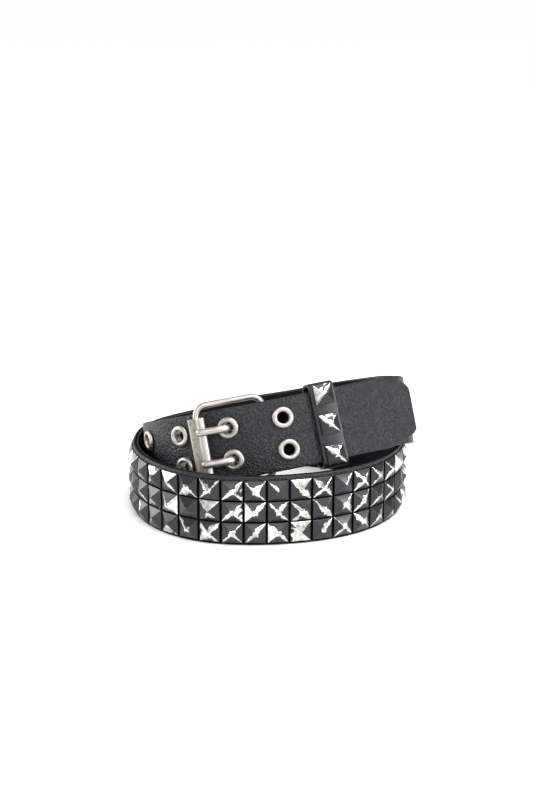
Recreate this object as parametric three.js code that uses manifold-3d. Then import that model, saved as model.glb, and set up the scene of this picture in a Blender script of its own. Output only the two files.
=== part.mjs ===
// Studded belt, fastened and coiled in two turns, standing on its lower edge.
// Millimetres, +Z up. The origin lies on the floor at the middle of the coil.
import * as THREE from 'three';
import { mergeVertices } from 'three/addons/utils/BufferGeometryUtils.js';
import Module from 'manifold-3d';

const wasm = await Module();
wasm.setup();

// Leather strap
const strapWidth = 38;
const strapThickness = 3.3;
const sectionStep = 6;
const tipLength = 81.8;
const tipCutLength = 25;
const tipEndWidth = 21;
const foldTailLength = 22;
const foldTrimLength = 12;
const foldTailStep = 4;
const foldBendSteps = 8;

// Coil: the radius of the outer turn, and how the layers lie against each other
const coilRadius = 75;
const turnClearance = 1.3;
const layerGap = 0.5;
const buckleEndRise = 1.1;
const leanAzimuth = 120;

// Gap that touching pieces keep
const fitGap = 0.3;

// Pyramid studs
const studRows = 3;
const studPitch = 11.82;
const studRowPitch = 11.67;
const studSide = 11;
const studSheet = 0.3;
const studSkirt = 0.5;
const studHeight = 2.9;
const studLowMargin = 1.25;
const studsFromHeel = 133.4;
const studsFromEyelet = 30;

// Eyelets, in pairs along the tip end
const eyeletColumns = 5;
const prongColumn = 1;
const eyeletPitch = 29.2;
const eyeletRowPitch = 17.2;
const eyeletHole = 6;
const eyeletOuter = 11.5;
const eyeletBackOuter = 9.6;
const eyeletWall = 0.6;
const eyeletDome = 1.1;
const eyeletBackThick = 0.45;
const eyeletSides = 12;
const eyeletSeatGap = 0.4;

// Buckle frame, its sleeve and its two prongs
const wireDiameter = 3.3;
const wireSides = 10;
const frameLength = 35.6;
const frameInnerHeight = 41;
const frameRise = 0.5;
const frameCornerRadius = 6.2;
const frameCornerSteps = 5;
const prongToTipBar = 15.6;
const sleeveWidth = 9.2;
const sleeveThickness = 4.7;
const sleeveEdgeRadius = 1;
const sleeveCurveSteps = 9;
const prongWidth = 3.9;
const prongThickness = 3;
const prongLoopThickness = 2.6;
const prongSides = 8;

// Keeper loop and its three studs
const keeperFromHeel = 32.2;
const keeperWidth = 14.2;
const keeperThickness = 1.8;
const keeperClearance = 0.5;
const keeperTopClearance = 2.4;
const keeperLowClearance = 1.8;
const keeperCorner = 3.6;
const keeperCornerSteps = 3;
const keeperStudSide = 10.8;
const keeperStudPitch = 16.3;
const keeperRise = 0.3;

// Rivets that close the fold round the heel bar
const rivetFromHeel = 17;
const rivetSpacing = 20;
const rivetHead = 8;
const rivetHeadHeight = 1.1;
const rivetShank = 3;
const rivetSides = 12;

// The strap's way round the coil. Each row gives the angle travelled round the coil in degrees,
// the radius of the strap's middle as a share of the coil radius, how many turn steps it lies
// further in, the height of the strap's middle as a share of its width, and its lean in degrees.
const outerTurn = [
  { angle: -3.8, radius: 1.016, stepsIn: 0, lift: 1.415, lean: 21 },
  { angle: 3.3, radius: 1.035, stepsIn: 0, lift: 1.337, lean: 19 },
  { angle: 11, radius: 1.046, stepsIn: 0, lift: 1.26, lean: 17 },
  { angle: 19.4, radius: 1.046, stepsIn: 0, lift: 1.185, lean: 15 },
  { angle: 28, radius: 1.035, stepsIn: 0, lift: 1.11, lean: 14 },
  { angle: 37.5, radius: 1.008, stepsIn: 0, lift: 1.01, lean: 12 },
  { angle: 55.9, radius: 0.951, stepsIn: 0, lift: 0.83, lean: 10 },
  { angle: 76.5, radius: 0.905, stepsIn: 0, lift: 0.66, lean: 7 },
  { angle: 97.8, radius: 0.88, stepsIn: 0, lift: 0.56, lean: 4 },
  { angle: 118.5, radius: 0.842, stepsIn: 0, lift: 0.513, lean: 1.5 },
  { angle: 139, radius: 0.856, stepsIn: 0, lift: 0.5, lean: 0 },
  { angle: 155.5, radius: 0.918, stepsIn: 0, lift: 0.5, lean: 0 },
  { angle: 170, radius: 0.96, stepsIn: 0, lift: 0.5, lean: 0 },
  { angle: 183, radius: 0.978, stepsIn: 0, lift: 0.5, lean: 0 },
  { angle: 195, radius: 0.998, stepsIn: 0, lift: 0.5, lean: 0 },
  { angle: 209, radius: 1.013, stepsIn: 0, lift: 0.5, lean: 0 },
  { angle: 226, radius: 1.017, stepsIn: 0, lift: 0.5, lean: 0 },
  { angle: 242, radius: 1.002, stepsIn: 0, lift: 0.5, lean: 0 },
  { angle: 260, radius: 0.963, stepsIn: 0, lift: 0.5, lean: 0 },
  { angle: 279, radius: 0.936, stepsIn: 0, lift: 0.5, lean: 0 },
  { angle: 298, radius: 0.943, stepsIn: 0, lift: 0.5, lean: 0 },
  { angle: 317, radius: 0.964, stepsIn: 0, lift: 0.5, lean: 0 },
  { angle: 335, radius: 0.98, stepsIn: 0, lift: 0.5, lean: 0 },
  { angle: 350, radius: 0.986, stepsIn: 0, lift: 0.5, lean: 0 },
  { angle: 362, radius: 0.976, stepsIn: 0, lift: 0.5, lean: 0 },
];
const innerTurn = [
  { angle: 374, radius: 1.065, stepsIn: 1, lift: 0.5, lean: 0 },
  { angle: 386, radius: 1.04, stepsIn: 1, lift: 0.5, lean: 0 },
  { angle: 398, radius: 1.003, stepsIn: 1, lift: 0.5, lean: 0 },
  { angle: 416, radius: 0.943, stepsIn: 1, lift: 0.5, lean: 0 },
  { angle: 436.5, radius: 0.9, stepsIn: 1, lift: 0.5, lean: 0 },
  { angle: 457.8, radius: 0.877, stepsIn: 1, lift: 0.5, lean: 0 },
  { angle: 478.5, radius: 0.84, stepsIn: 1, lift: 0.5, lean: 0 },
  { angle: 499, radius: 0.852, stepsIn: 1, lift: 0.503, lean: 0 },
  { angle: 514, radius: 0.907, stepsIn: 1, lift: 0.513, lean: 4 },
  { angle: 527, radius: 0.952, stepsIn: 1, lift: 0.55, lean: 9.5 },
  { angle: 540, radius: 0.985, stepsIn: 1, lift: 0.647, lean: 15 },
];
const tipTurn = [
  { angle: 556.3, radius: 0.98, stepsIn: 1, lift: 0.826, lean: 19 },
  { angle: 576.5, radius: 0.932, stepsIn: 1, lift: 1.029, lean: 19 },
  { angle: 598.3, radius: 0.868, stepsIn: 1, lift: 1.216, lean: 19 },
  { angle: 622.3, radius: 0.827, stepsIn: 1, lift: 1.371, lean: 19.5 },
  { angle: 647.4, radius: 0.825, stepsIn: 1, lift: 1.479, lean: 20.5 },
  { angle: 672, radius: 0.873, stepsIn: 1, lift: 1.532, lean: 21.5 },
  { angle: 692.9, radius: 0.987, stepsIn: 1, lift: 1.534, lean: 22 },
  { angle: 710.9, radius: 1.178, stepsIn: 1, lift: 1.478, lean: 22.5 },
];

// The cut corners of the tip. Shares of the cut's length, and of its depth above and below.
const tipOutline = [
  { along: 0, upper: 0, lower: 0 },
  { along: 0.3, upper: 0.08, lower: 0.12 },
  { along: 0.6, upper: 0.24, lower: 0.38 },
  { along: 0.84, upper: 0.42, lower: 0.62 },
  { along: 0.94, upper: 0.6, lower: 0.78 },
  { along: 1, upper: 1, lower: 1 },
];

// The way of a prong from the heel bar through its eyelet to the tip bar. Each row gives the side
// of the tip end it is on, its place as a share of the way from the eyelet to that side's bar, its
// height as a share of that side's resting height, and shares of the prong's thickness and width.
const prongPath = [
  { side: 'under', along: 1, height: 1, thick: 1, wide: 1 },
  { side: 'under', along: 0.5, height: 1, thick: 1, wide: 1 },
  { side: 'under', along: 0.22, height: 1, thick: 1, wide: 1 },
  { side: 'under', along: 0.115, height: 0.86, thick: 1, wide: 1 },
  { side: 'under', along: 0.05, height: 0.45, thick: 1, wide: 1 },
  { side: 'under', along: 0.02, height: 0, thick: 1, wide: 1 },
  { side: 'over', along: 0.032, height: 0.34, thick: 0.87, wide: 1 },
  { side: 'over', along: 0.192, height: 0.64, thick: 1, wide: 1 },
  { side: 'over', along: 0.55, height: 0.85, thick: 1, wide: 1 },
  { side: 'over', along: 0.85, height: 1, thick: 1, wide: 1 },
  { side: 'over', along: 0.865, height: 1, thick: 0.9, wide: 1 },
  { side: 'over', along: 0.923, height: 1, thick: 0.55, wide: 0.64 },
];

// How far the field of studs stands proud of the leather, and the radial steps that follow
const studReach = fitGap + studSheet + studHeight;
const turnStep = strapThickness + studReach + turnClearance;
const layerStep = strapThickness + layerGap;
const wireRadius = wireDiameter / 2;
const foldRadius = wireRadius + fitGap + strapThickness / 2;

// The straight part of the frame's bars, between its corners
const straightBar = frameInnerHeight + wireDiameter - 2 * frameCornerRadius;

const leather = new THREE.MeshStandardMaterial({ color: 0x242326, roughness: 0.6, metalness: 0 });
const studMetal = new THREE.MeshStandardMaterial({ color: 0x55555a, roughness: 0.35, metalness: 0.8 });
const nickel = new THREE.MeshStandardMaterial({ color: 0xb9b0a8, roughness: 0.35, metalness: 1 });

const belt = new THREE.Group();
belt.name = 'studded_belt';

// A point of a table row, and the upward direction that its lean gives
function rowPoint(row) {
  const angle = THREE.MathUtils.degToRad(row.angle);
  const radius = row.radius * coilRadius - row.stepsIn * turnStep;
  return new THREE.Vector3(radius * Math.cos(angle), radius * Math.sin(angle), row.lift * strapWidth);
}

function rowUp(row) {
  const lean = THREE.MathUtils.degToRad(row.lean);
  const azimuth = THREE.MathUtils.degToRad(leanAzimuth);
  return new THREE.Vector3(
    Math.sin(lean) * Math.cos(azimuth),
    Math.sin(lean) * Math.sin(azimuth),
    Math.cos(lean),
  );
}

// A natural cubic spline through vectors, with the knots given
function splineThrough(knots, vectors) {
  const count = knots.length;
  const bend = vectors.map(() => new THREE.Vector3());
  const ratio = new Array(count).fill(0);
  for (let i = 1; i < count - 1; i++) {
    const before = knots[i] - knots[i - 1];
    const after = knots[i + 1] - knots[i];
    const slopeIn = vectors[i].clone().sub(vectors[i - 1]).divideScalar(before);
    const slopeOut = vectors[i + 1].clone().sub(vectors[i]).divideScalar(after);
    const pivot = 2 * (before + after) - before * ratio[i - 1];
    ratio[i] = after / pivot;
    bend[i] = slopeOut.sub(slopeIn).multiplyScalar(6);
    bend[i].addScaledVector(bend[i - 1], -before).divideScalar(pivot);
  }
  for (let i = count - 2; i > 0; i--) {
    bend[i].addScaledVector(bend[i + 1], -ratio[i]);
  }
  return (x) => {
    let i = 0;
    while (i < count - 2 && x > knots[i + 1]) {
      i++;
    }
    const span = knots[i + 1] - knots[i];
    const b = (x - knots[i]) / span;
    const a = 1 - b;
    return vectors[i].clone().multiplyScalar(a)
      .addScaledVector(vectors[i + 1], b)
      .addScaledVector(bend[i], (a ** 3 - a) * span * span / 6)
      .addScaledVector(bend[i + 1], (b ** 3 - b) * span * span / 6);
  };
}

class RouteCurve extends THREE.Curve {
  constructor(points) {
    super();
    this.knots = [0];
    for (let i = 1; i < points.length; i++) {
      this.knots.push(this.knots[i - 1] + points[i].distanceTo(points[i - 1]));
    }
    this.spline = splineThrough(this.knots, points);
  }

  getPoint(t) {
    return this.spline(t * this.knots[this.knots.length - 1]);
  }
}

// A route is a smooth curve with an upward direction at each point, read by its length
function makeRoute(points, ups) {
  const curve = new RouteCurve(points);
  curve.arcLengthDivisions = 3000;
  const upSpline = splineThrough(curve.knots, ups);
  const length = curve.getLength();
  const at = (along) => {
    const t = curve.getUtoTmapping(THREE.MathUtils.clamp(along / length, 0, 1));
    const tangent = curve.getTangent(t);
    const up = upSpline(t * curve.knots[curve.knots.length - 1]);
    up.addScaledVector(tangent, -up.dot(tangent)).normalize();
    const outward = new THREE.Vector3().crossVectors(tangent, up);
    return { point: curve.getPoint(t), tangent, up, outward };
  };
  return { length, at };
}

// A place beside the route: so far up and so far outward from the strap's middle
function beside(frame, up, outward) {
  return frame.point.clone().addScaledVector(frame.up, up).addScaledVector(frame.outward, outward);
}

// The tip end is laid first, because the buckle end lies under it
const upperRows = [...innerTurn, ...tipTurn];
const tipRoute = makeRoute(upperRows.map(rowPoint), upperRows.map(rowUp));
const prongOnTip = tipRoute.length - tipLength - prongColumn * eyeletPitch;
const heelOnTip = prongOnTip - prongToTipBar + frameLength;

// The buckle end follows the tip end's inner side from the heel bar to the end of the tip
function underTip() {
  const points = [];
  const ups = [];
  const reach = tipRoute.length - heelOnTip;
  const count = Math.round(reach / (2 * sectionStep));
  for (let i = 0; i < count; i++) {
    const share = i / (count - 0.6);
    const frame = tipRoute.at(heelOnTip + share * reach);
    const rise = buckleEndRise * THREE.MathUtils.smoothstep(share, 0.4, 0.8);
    points.push(beside(frame, rise, -layerStep));
    ups.push(frame.up.clone());
  }
  return { points, ups };
}

const under = underTip();
const freeRows = [...outerTurn, ...upperRows];
const route = makeRoute(
  [...under.points, ...freeRows.map(rowPoint)],
  [...under.ups, ...freeRows.map(rowUp)],
);
const prongAt = route.length - tipLength - prongColumn * eyeletPitch;
const heelOverlapAt = prongAt - prongToTipBar + frameLength;

// Turns a list of loops of equal size into one closed body
function skin(loops, closed) {
  const count = loops[0].length;
  const positions = loops.flat().flatMap((p) => [p.x, p.y, p.z]);
  const index = [];
  const rings = closed ? loops.length : loops.length - 1;
  for (let i = 0; i < rings; i++) {
    const a = i * count;
    const b = ((i + 1) % loops.length) * count;
    for (let j = 0; j < count; j++) {
      const k = (j + 1) % count;
      index.push(a + j, b + j, b + k, a + j, b + k, a + k);
    }
  }
  if (!closed) {
    const last = (loops.length - 1) * count;
    for (let j = 1; j < count - 1; j++) {
      index.push(0, j, j + 1, last, last + j + 1, last + j);
    }
  }
  return outwardFacing(positions, index);
}

// A body from positions and triangles, turned so that its faces point outward
function outwardFacing(positions, index) {
  const geometry = new THREE.BufferGeometry();
  geometry.setAttribute('position', new THREE.Float32BufferAttribute(positions, 3));
  const corner = (i) => new THREE.Vector3().fromArray(positions, 3 * i);
  let volume = 0;
  for (let i = 0; i < index.length; i += 3) {
    volume += corner(index[i]).dot(corner(index[i + 1]).cross(corner(index[i + 2])));
  }
  geometry.setIndex(volume < 0 ? [...index].reverse() : index);
  return geometry;
}

function toSolid(geometry) {
  const merged = welded(geometry.clone());
  return new wasm.Manifold(new wasm.Mesh({
    numProp: 3,
    vertProperties: new Float32Array(merged.attributes.position.array),
    triVerts: new Uint32Array(merged.index.array),
  }));
}

function toGeometry(solid) {
  const mesh = solid.getMesh();
  const geometry = new THREE.BufferGeometry();
  geometry.setAttribute('position', new THREE.Float32BufferAttribute(mesh.vertProperties, 3));
  geometry.setIndex(new THREE.Uint32BufferAttribute(mesh.triVerts, 1));
  return geometry;
}

// Joins equal corners and drops triangles that have become lines
function welded(geometry) {
  geometry.deleteAttribute('normal');
  geometry.deleteAttribute('uv');
  const merged = mergeVertices(geometry, 1e-3);
  const list = merged.index.array;
  const triangles = [];
  for (let i = 0; i < list.length; i += 3) {
    const [a, b, c] = [list[i], list[i + 1], list[i + 2]];
    if (a !== b && b !== c && c !== a) {
      triangles.push(a, b, c);
    }
  }
  return outwardFacing(Array.from(merged.attributes.position.array), triangles);
}

function addPiece(name, geometry, material) {
  geometry.computeVertexNormals();
  const mesh = new THREE.Mesh(geometry, material);
  mesh.name = name;
  belt.add(mesh);
}

// A matrix that stands a shape's x, y and z along three directions at a place
function placed(geometry, x, y, z, origin) {
  geometry.applyMatrix4(new THREE.Matrix4().makeBasis(x, y, z).setPosition(origin));
  return geometry;
}

// Strap

// Where the studs begin and end along the route, as whole columns
function studSpan() {
  const lastEyelet = prongAt - (eyeletColumns - 1 - prongColumn) * eyeletPitch;
  const room = lastEyelet - studsFromEyelet - studsFromHeel;
  return { start: studsFromHeel, columns: Math.floor(room / studPitch) };
}

const studs = studSpan();

function studEdges(column) {
  const middle = studs.start + (column + 0.5) * studPitch;
  return [middle - studSide / 2, middle + studSide / 2];
}

// Places along the route that get a section: even steps, and both edges of each stud
function strapPlaces() {
  const places = [];
  const evenly = (from, to) => {
    const count = Math.max(1, Math.round((to - from) / sectionStep));
    for (let i = 0; i < count; i++) {
      places.push(from + (to - from) * i / count);
    }
  };
  evenly(0, studEdges(0)[0]);
  for (let column = 0; column < studs.columns; column++) {
    places.push(...studEdges(column));
  }
  const cutStart = route.length - tipCutLength;
  evenly(studEdges(studs.columns - 1)[1] + sectionStep / 2, cutStart);
  for (const row of tipOutline) {
    places.push(cutStart + row.along * tipCutLength);
  }
  return places;
}

// How deep the strap is cut at a place, above and below. The tip has its cut corners, and the
// fold is trimmed to the straight part of the heel bar.
function edgeCut(along) {
  const share = (along - (route.length - tipCutLength)) / tipCutLength;
  if (share <= 0) {
    const trim = (strapWidth - straightBar) / 2 + fitGap + frameRise;
    const depth = trim * (1 - THREE.MathUtils.smoothstep(along, 0, foldTrimLength));
    return { upper: depth, lower: depth };
  }
  const depth = (strapWidth - tipEndWidth) / 2;
  const next = Math.max(1, tipOutline.findIndex((row) => row.along >= share - 1e-6));
  const a = tipOutline[next - 1];
  const b = tipOutline[next];
  const mix = (share - a.along) / (b.along - a.along);
  return {
    upper: depth * THREE.MathUtils.lerp(a.upper, b.upper, mix),
    lower: depth * THREE.MathUtils.lerp(a.lower, b.lower, mix),
  };
}

function strapLoop(frame, cut) {
  const high = strapWidth / 2 - cut.upper;
  const low = -strapWidth / 2 + cut.lower;
  const half = strapThickness / 2;
  const corners = [[high, half], [high, -half], [low, -half], [low, half]];
  const loop = corners.map(([up, outward]) => beside(frame, up, outward));
  for (const corner of loop) {
    corner.z = Math.max(corner.z, 0);
  }
  return loop;
}

// The fold round the heel bar: a tail on the inner side, then half a turn round the bar
function foldFrames() {
  const frames = [];
  const heel = route.at(0);
  const bar = beside(heel, 0, -foldRadius);
  const tailSteps = Math.round(foldTailLength / foldTailStep);
  for (let i = tailSteps; i >= 1; i--) {
    const along = foldTailLength * i / tailSteps;
    const close = THREE.MathUtils.smoothstep(along, 0, rivetFromHeel - 0.75 * rivetHead);
    const depth = THREE.MathUtils.lerp(2 * foldRadius, strapThickness + fitGap, close);
    const frame = route.at(along);
    const outward = frame.outward.clone().negate();
    frames.push({ point: beside(frame, 0, -depth), up: frame.up, outward });
  }
  for (let i = foldBendSteps; i >= 1; i--) {
    const turn = Math.PI * i / foldBendSteps;
    const outward = heel.outward.clone().multiplyScalar(Math.cos(turn));
    outward.addScaledVector(heel.tangent, -Math.sin(turn));
    frames.push({ point: bar.clone().addScaledVector(outward, foldRadius), up: heel.up, outward });
  }
  return frames;
}

function cutterDisc(radius, sides, frame, up, from, to) {
  const disc = new THREE.CylinderGeometry(radius, radius, to - from, sides);
  const centre = beside(frame, up, (from + to) / 2);
  return toSolid(placed(disc, frame.up, frame.outward, frame.tangent, centre));
}

function eyeletPlaces() {
  const rows = [
    { name: 'upper', up: eyeletRowPitch / 2 },
    { name: 'lower', up: -eyeletRowPitch / 2 },
  ];
  const places = [];
  for (let column = 0; column < eyeletColumns; column++) {
    const along = prongAt + (prongColumn - column) * eyeletPitch;
    for (const row of rows) {
      places.push({ name: `eyelet_${column + 1}_${row.name}`, frame: route.at(along), up: row.up });
    }
  }
  return places;
}

function rivetPlaces() {
  return [
    { name: 'rivet_upper', up: rivetSpacing / 2 },
    { name: 'rivet_lower', up: -rivetSpacing / 2 },
  ];
}

function makeStrap() {
  const loops = foldFrames().map((frame) => strapLoop(frame, edgeCut(0)));
  for (const along of strapPlaces()) {
    loops.push(strapLoop(route.at(along), edgeCut(along)));
  }
  let strap = toSolid(skin(loops, false));
  const half = strapThickness / 2;
  for (const place of eyeletPlaces()) {
    const barrel = eyeletHole / 2 + eyeletWall + fitGap;
    const back = eyeletBackOuter / 2 + fitGap;
    const floor = -half + eyeletBackThick - layerGap / 4 + fitGap;
    const edge = -half - layerGap / 2;
    strap = strap.subtract(cutterDisc(barrel, eyeletSides, place.frame, place.up, edge, half + studHeight));
    strap = strap.subtract(cutterDisc(back, eyeletSides, place.frame, place.up, edge, floor));
  }
  const heel = route.at(0);
  const slotHeight = prongWidth + 4 * fitGap;
  const slotLength = 2 * (wireRadius + prongLoopThickness + 3 * fitGap);
  for (const up of [eyeletRowPitch / 2, -eyeletRowPitch / 2]) {
    const inner = -2 * foldRadius - strapThickness;
    const outer = half + fitGap / 6;
    const slot = new THREE.BoxGeometry(slotHeight, outer - inner, slotLength + strapThickness);
    const centre = beside(heel, up, (inner + outer) / 2);
    strap = strap.subtract(toSolid(placed(slot, heel.up, heel.outward, heel.tangent, centre)));
  }
  const rivetFrame = route.at(rivetFromHeel);
  for (const place of rivetPlaces()) {
    const radius = rivetShank / 2 + fitGap;
    const inner = -2 * strapThickness - 2 * fitGap;
    strap = strap.subtract(cutterDisc(radius, rivetSides, rivetFrame, place.up, inner, half + fitGap));
  }
  addPiece('strap', toGeometry(strap), leather);
}

// Studs

// All the strap's studs as one body: a thin sheet over the leather with a pyramid at each place.
// Every column is one flat facet, and the sheet bends in the narrow gaps between columns.
function makeStudField() {
  const positions = [];
  const index = [];
  const put = (p) => positions.push(p.x, p.y, p.z) / 3 - 1;
  const quad = (a, b, c, d) => index.push(a, b, c, a, c, d);
  const lowEdge = -strapWidth / 2 + studLowMargin + (studRowPitch - studSide) / 2;
  const lines = [];
  for (let row = 0; row < studRows; row++) {
    lines.push(lowEdge + row * studRowPitch, lowEdge + row * studRowPitch + studSide);
  }
  const face = strapThickness / 2;
  const backs = [];
  const fronts = [];
  for (let column = 0; column < studs.columns; column++) {
    for (const along of studEdges(column)) {
      const frame = route.at(along);
      backs.push(lines.map((up) => put(beside(frame, up, face + fitGap))));
      fronts.push(lines.map((up) => put(beside(frame, up, face + fitGap + studSheet))));
    }
  }
  const last = lines.length - 1;
  for (let i = 0; i < fronts.length - 1; i++) {
    for (let j = 0; j < last; j++) {
      quad(backs[i][j], backs[i][j + 1], backs[i + 1][j + 1], backs[i + 1][j]);
      const isStud = i % 2 === 0 && j % 2 === 0;
      if (isStud) {
        pyramid([fronts[i][j], fronts[i + 1][j], fronts[i + 1][j + 1], fronts[i][j + 1]]);
      } else {
        quad(fronts[i][j], fronts[i + 1][j], fronts[i + 1][j + 1], fronts[i][j + 1]);
      }
    }
    quad(backs[i][0], backs[i + 1][0], fronts[i + 1][0], fronts[i][0]);
    quad(backs[i][last], fronts[i][last], fronts[i + 1][last], backs[i + 1][last]);
  }
  for (let j = 0; j < last; j++) {
    quad(backs[0][j], fronts[0][j], fronts[0][j + 1], backs[0][j + 1]);
    const end = fronts.length - 1;
    quad(backs[end][j], backs[end][j + 1], fronts[end][j + 1], fronts[end][j]);
  }

  function pyramid(ring) {
    const corners = ring.map((i) => new THREE.Vector3().fromArray(positions, 3 * i));
    const across = corners[2].clone().sub(corners[0]);
    const normal = across.cross(corners[3].clone().sub(corners[1])).normalize();
    const shoulder = corners.map((p) => put(p.clone().addScaledVector(normal, studSkirt)));
    const middle = corners.reduce((sum, p) => sum.add(p), new THREE.Vector3()).multiplyScalar(0.25);
    const apex = put(middle.addScaledVector(normal, studHeight));
    for (let k = 0; k < 4; k++) {
      const m = (k + 1) % 4;
      quad(ring[k], ring[m], shoulder[m], shoulder[k]);
      index.push(shoulder[k], shoulder[m], apex);
    }
  }

  addPiece('stud_field', outwardFacing(positions, index), studMetal);
}

// One loose pyramid stud on its flat back: x and y across it, z outward
function studGeometry(side) {
  const half = side / 2;
  const corners = [[-half, -half], [half, -half], [half, half], [-half, half]];
  const positions = [];
  for (const height of [0, studSkirt]) {
    for (const [x, y] of corners) {
      positions.push(x, y, height);
    }
  }
  positions.push(0, 0, studHeight);
  const index = [0, 2, 1, 0, 3, 2];
  for (let k = 0; k < 4; k++) {
    const m = (k + 1) % 4;
    index.push(k, m, m + 4, k, m + 4, k + 4, k + 4, m + 4, 8);
  }
  return outwardFacing(positions, index);
}

// Eyelets

// A ring turned about its axis: a domed flange outside, a barrel, and a flat flange at the back
function makeEyelets() {
  const half = strapThickness / 2;
  const bore = eyeletHole / 2;
  const barrel = bore + eyeletWall;
  const seat = half + eyeletSeatGap;
  const backFace = -half - layerGap / 4;
  const profile = [
    [bore, backFace],
    [eyeletBackOuter / 2, backFace],
    [eyeletBackOuter / 2, backFace + eyeletBackThick],
    [barrel, backFace + eyeletBackThick],
    [barrel, seat],
    [eyeletOuter / 2, seat],
    [(eyeletOuter / 2 + bore) / 2, seat + eyeletDome],
    [bore, seat + eyeletDome * 0.4],
  ].map(([radius, height]) => new THREE.Vector2(radius, height));
  for (const place of eyeletPlaces()) {
    const loops = [];
    for (let i = 0; i < eyeletSides; i++) {
      const turn = 2 * Math.PI * i / eyeletSides;
      const direction = place.frame.up.clone().multiplyScalar(Math.cos(turn));
      direction.addScaledVector(place.frame.tangent, Math.sin(turn));
      loops.push(profile.map((p) => beside(place.frame, place.up, p.y).addScaledVector(direction, p.x)));
    }
    addPiece(place.name, skin(loops, true), nickel);
  }
}

// Buckle

// The frame's own directions: along it from the tip bar to the heel bar, up it, and outward
function buckleFrame() {
  const tipOutward = strapThickness / 2 + fitGap + sleeveThickness / 2;
  const tipBar = beside(route.at(prongAt - prongToTipBar), frameRise, tipOutward);
  const heelBar = beside(route.at(0), frameRise, -foldRadius);
  const up = route.at(0).up.clone();
  const along = heelBar.clone().sub(tipBar);
  up.addScaledVector(along, -up.dot(along) / along.lengthSq()).normalize();
  const length = along.length();
  along.normalize();
  return { tipBar, heelBar, up, along, length, outward: new THREE.Vector3().crossVectors(along, up) };
}

const buckle = buckleFrame();

// A round or oval bar along a list of places, each with two directions across it and two half sizes
function bar(places, sides, closed) {
  const loops = places.map((place) => {
    const loop = [];
    for (let i = 0; i < sides; i++) {
      const turn = 2 * Math.PI * (i + 0.5) / sides;
      loop.push(place.point.clone()
        .addScaledVector(place.across, place.halfAcross * Math.cos(turn))
        .addScaledVector(place.thick, place.halfThick * Math.sin(turn)));
    }
    return loop;
  });
  return skin(loops, closed);
}

function makeFrame() {
  const halfHeight = frameInnerHeight / 2 + wireRadius;
  const centres = [
    [buckle.length - frameCornerRadius, halfHeight - frameCornerRadius, 0],
    [frameCornerRadius, halfHeight - frameCornerRadius, 90],
    [frameCornerRadius, -halfHeight + frameCornerRadius, 180],
    [buckle.length - frameCornerRadius, -halfHeight + frameCornerRadius, 270],
  ];
  const places = [];
  for (const [x, y, start] of centres) {
    for (let i = 0; i <= frameCornerSteps; i++) {
      const turn = THREE.MathUtils.degToRad(start + 90 * i / frameCornerSteps);
      const across = buckle.along.clone().multiplyScalar(Math.cos(turn));
      across.addScaledVector(buckle.up, Math.sin(turn));
      const point = buckle.tipBar.clone()
        .addScaledVector(buckle.along, x)
        .addScaledVector(buckle.up, y)
        .addScaledVector(across, frameCornerRadius);
      places.push({ point, across, thick: buckle.outward, halfAcross: wireRadius, halfThick: wireRadius });
    }
  }
  addPiece('buckle_frame', bar(places, wireSides, true), nickel);
}

// A sheet wrapped round the tip bar: flat faces, a round side toward the heel bar, and a bore
function makeSleeve() {
  const half = sleeveThickness / 2;
  const left = -sleeveWidth / 2;
  const edge = sleeveEdgeRadius;
  const shape = new THREE.Shape();
  shape.absarc(-left - half, 0, half, -Math.PI / 2, Math.PI / 2, false);
  shape.absarc(left + edge, half - edge, edge, Math.PI / 2, Math.PI, false);
  shape.absarc(left + edge, -half + edge, edge, Math.PI, 1.5 * Math.PI, false);
  shape.closePath();
  const bore = new THREE.Path();
  bore.absarc(0, 0, wireRadius + fitGap, 0, 2 * Math.PI, true);
  shape.holes.push(bore);
  const sleeve = new THREE.ExtrudeGeometry(shape, {
    depth: straightBar,
    bevelEnabled: false,
    curveSegments: sleeveCurveSteps,
  });
  const way = route.at(prongAt - prongToTipBar).tangent.clone();
  way.addScaledVector(buckle.up, -way.dot(buckle.up)).normalize();
  const inward = new THREE.Vector3().crossVectors(buckle.up, way);
  const start = buckle.tipBar.clone().addScaledVector(buckle.up, -straightBar / 2);
  addPiece('buckle_sleeve', welded(placed(sleeve, way, inward, buckle.up, start)), nickel);
}

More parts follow.
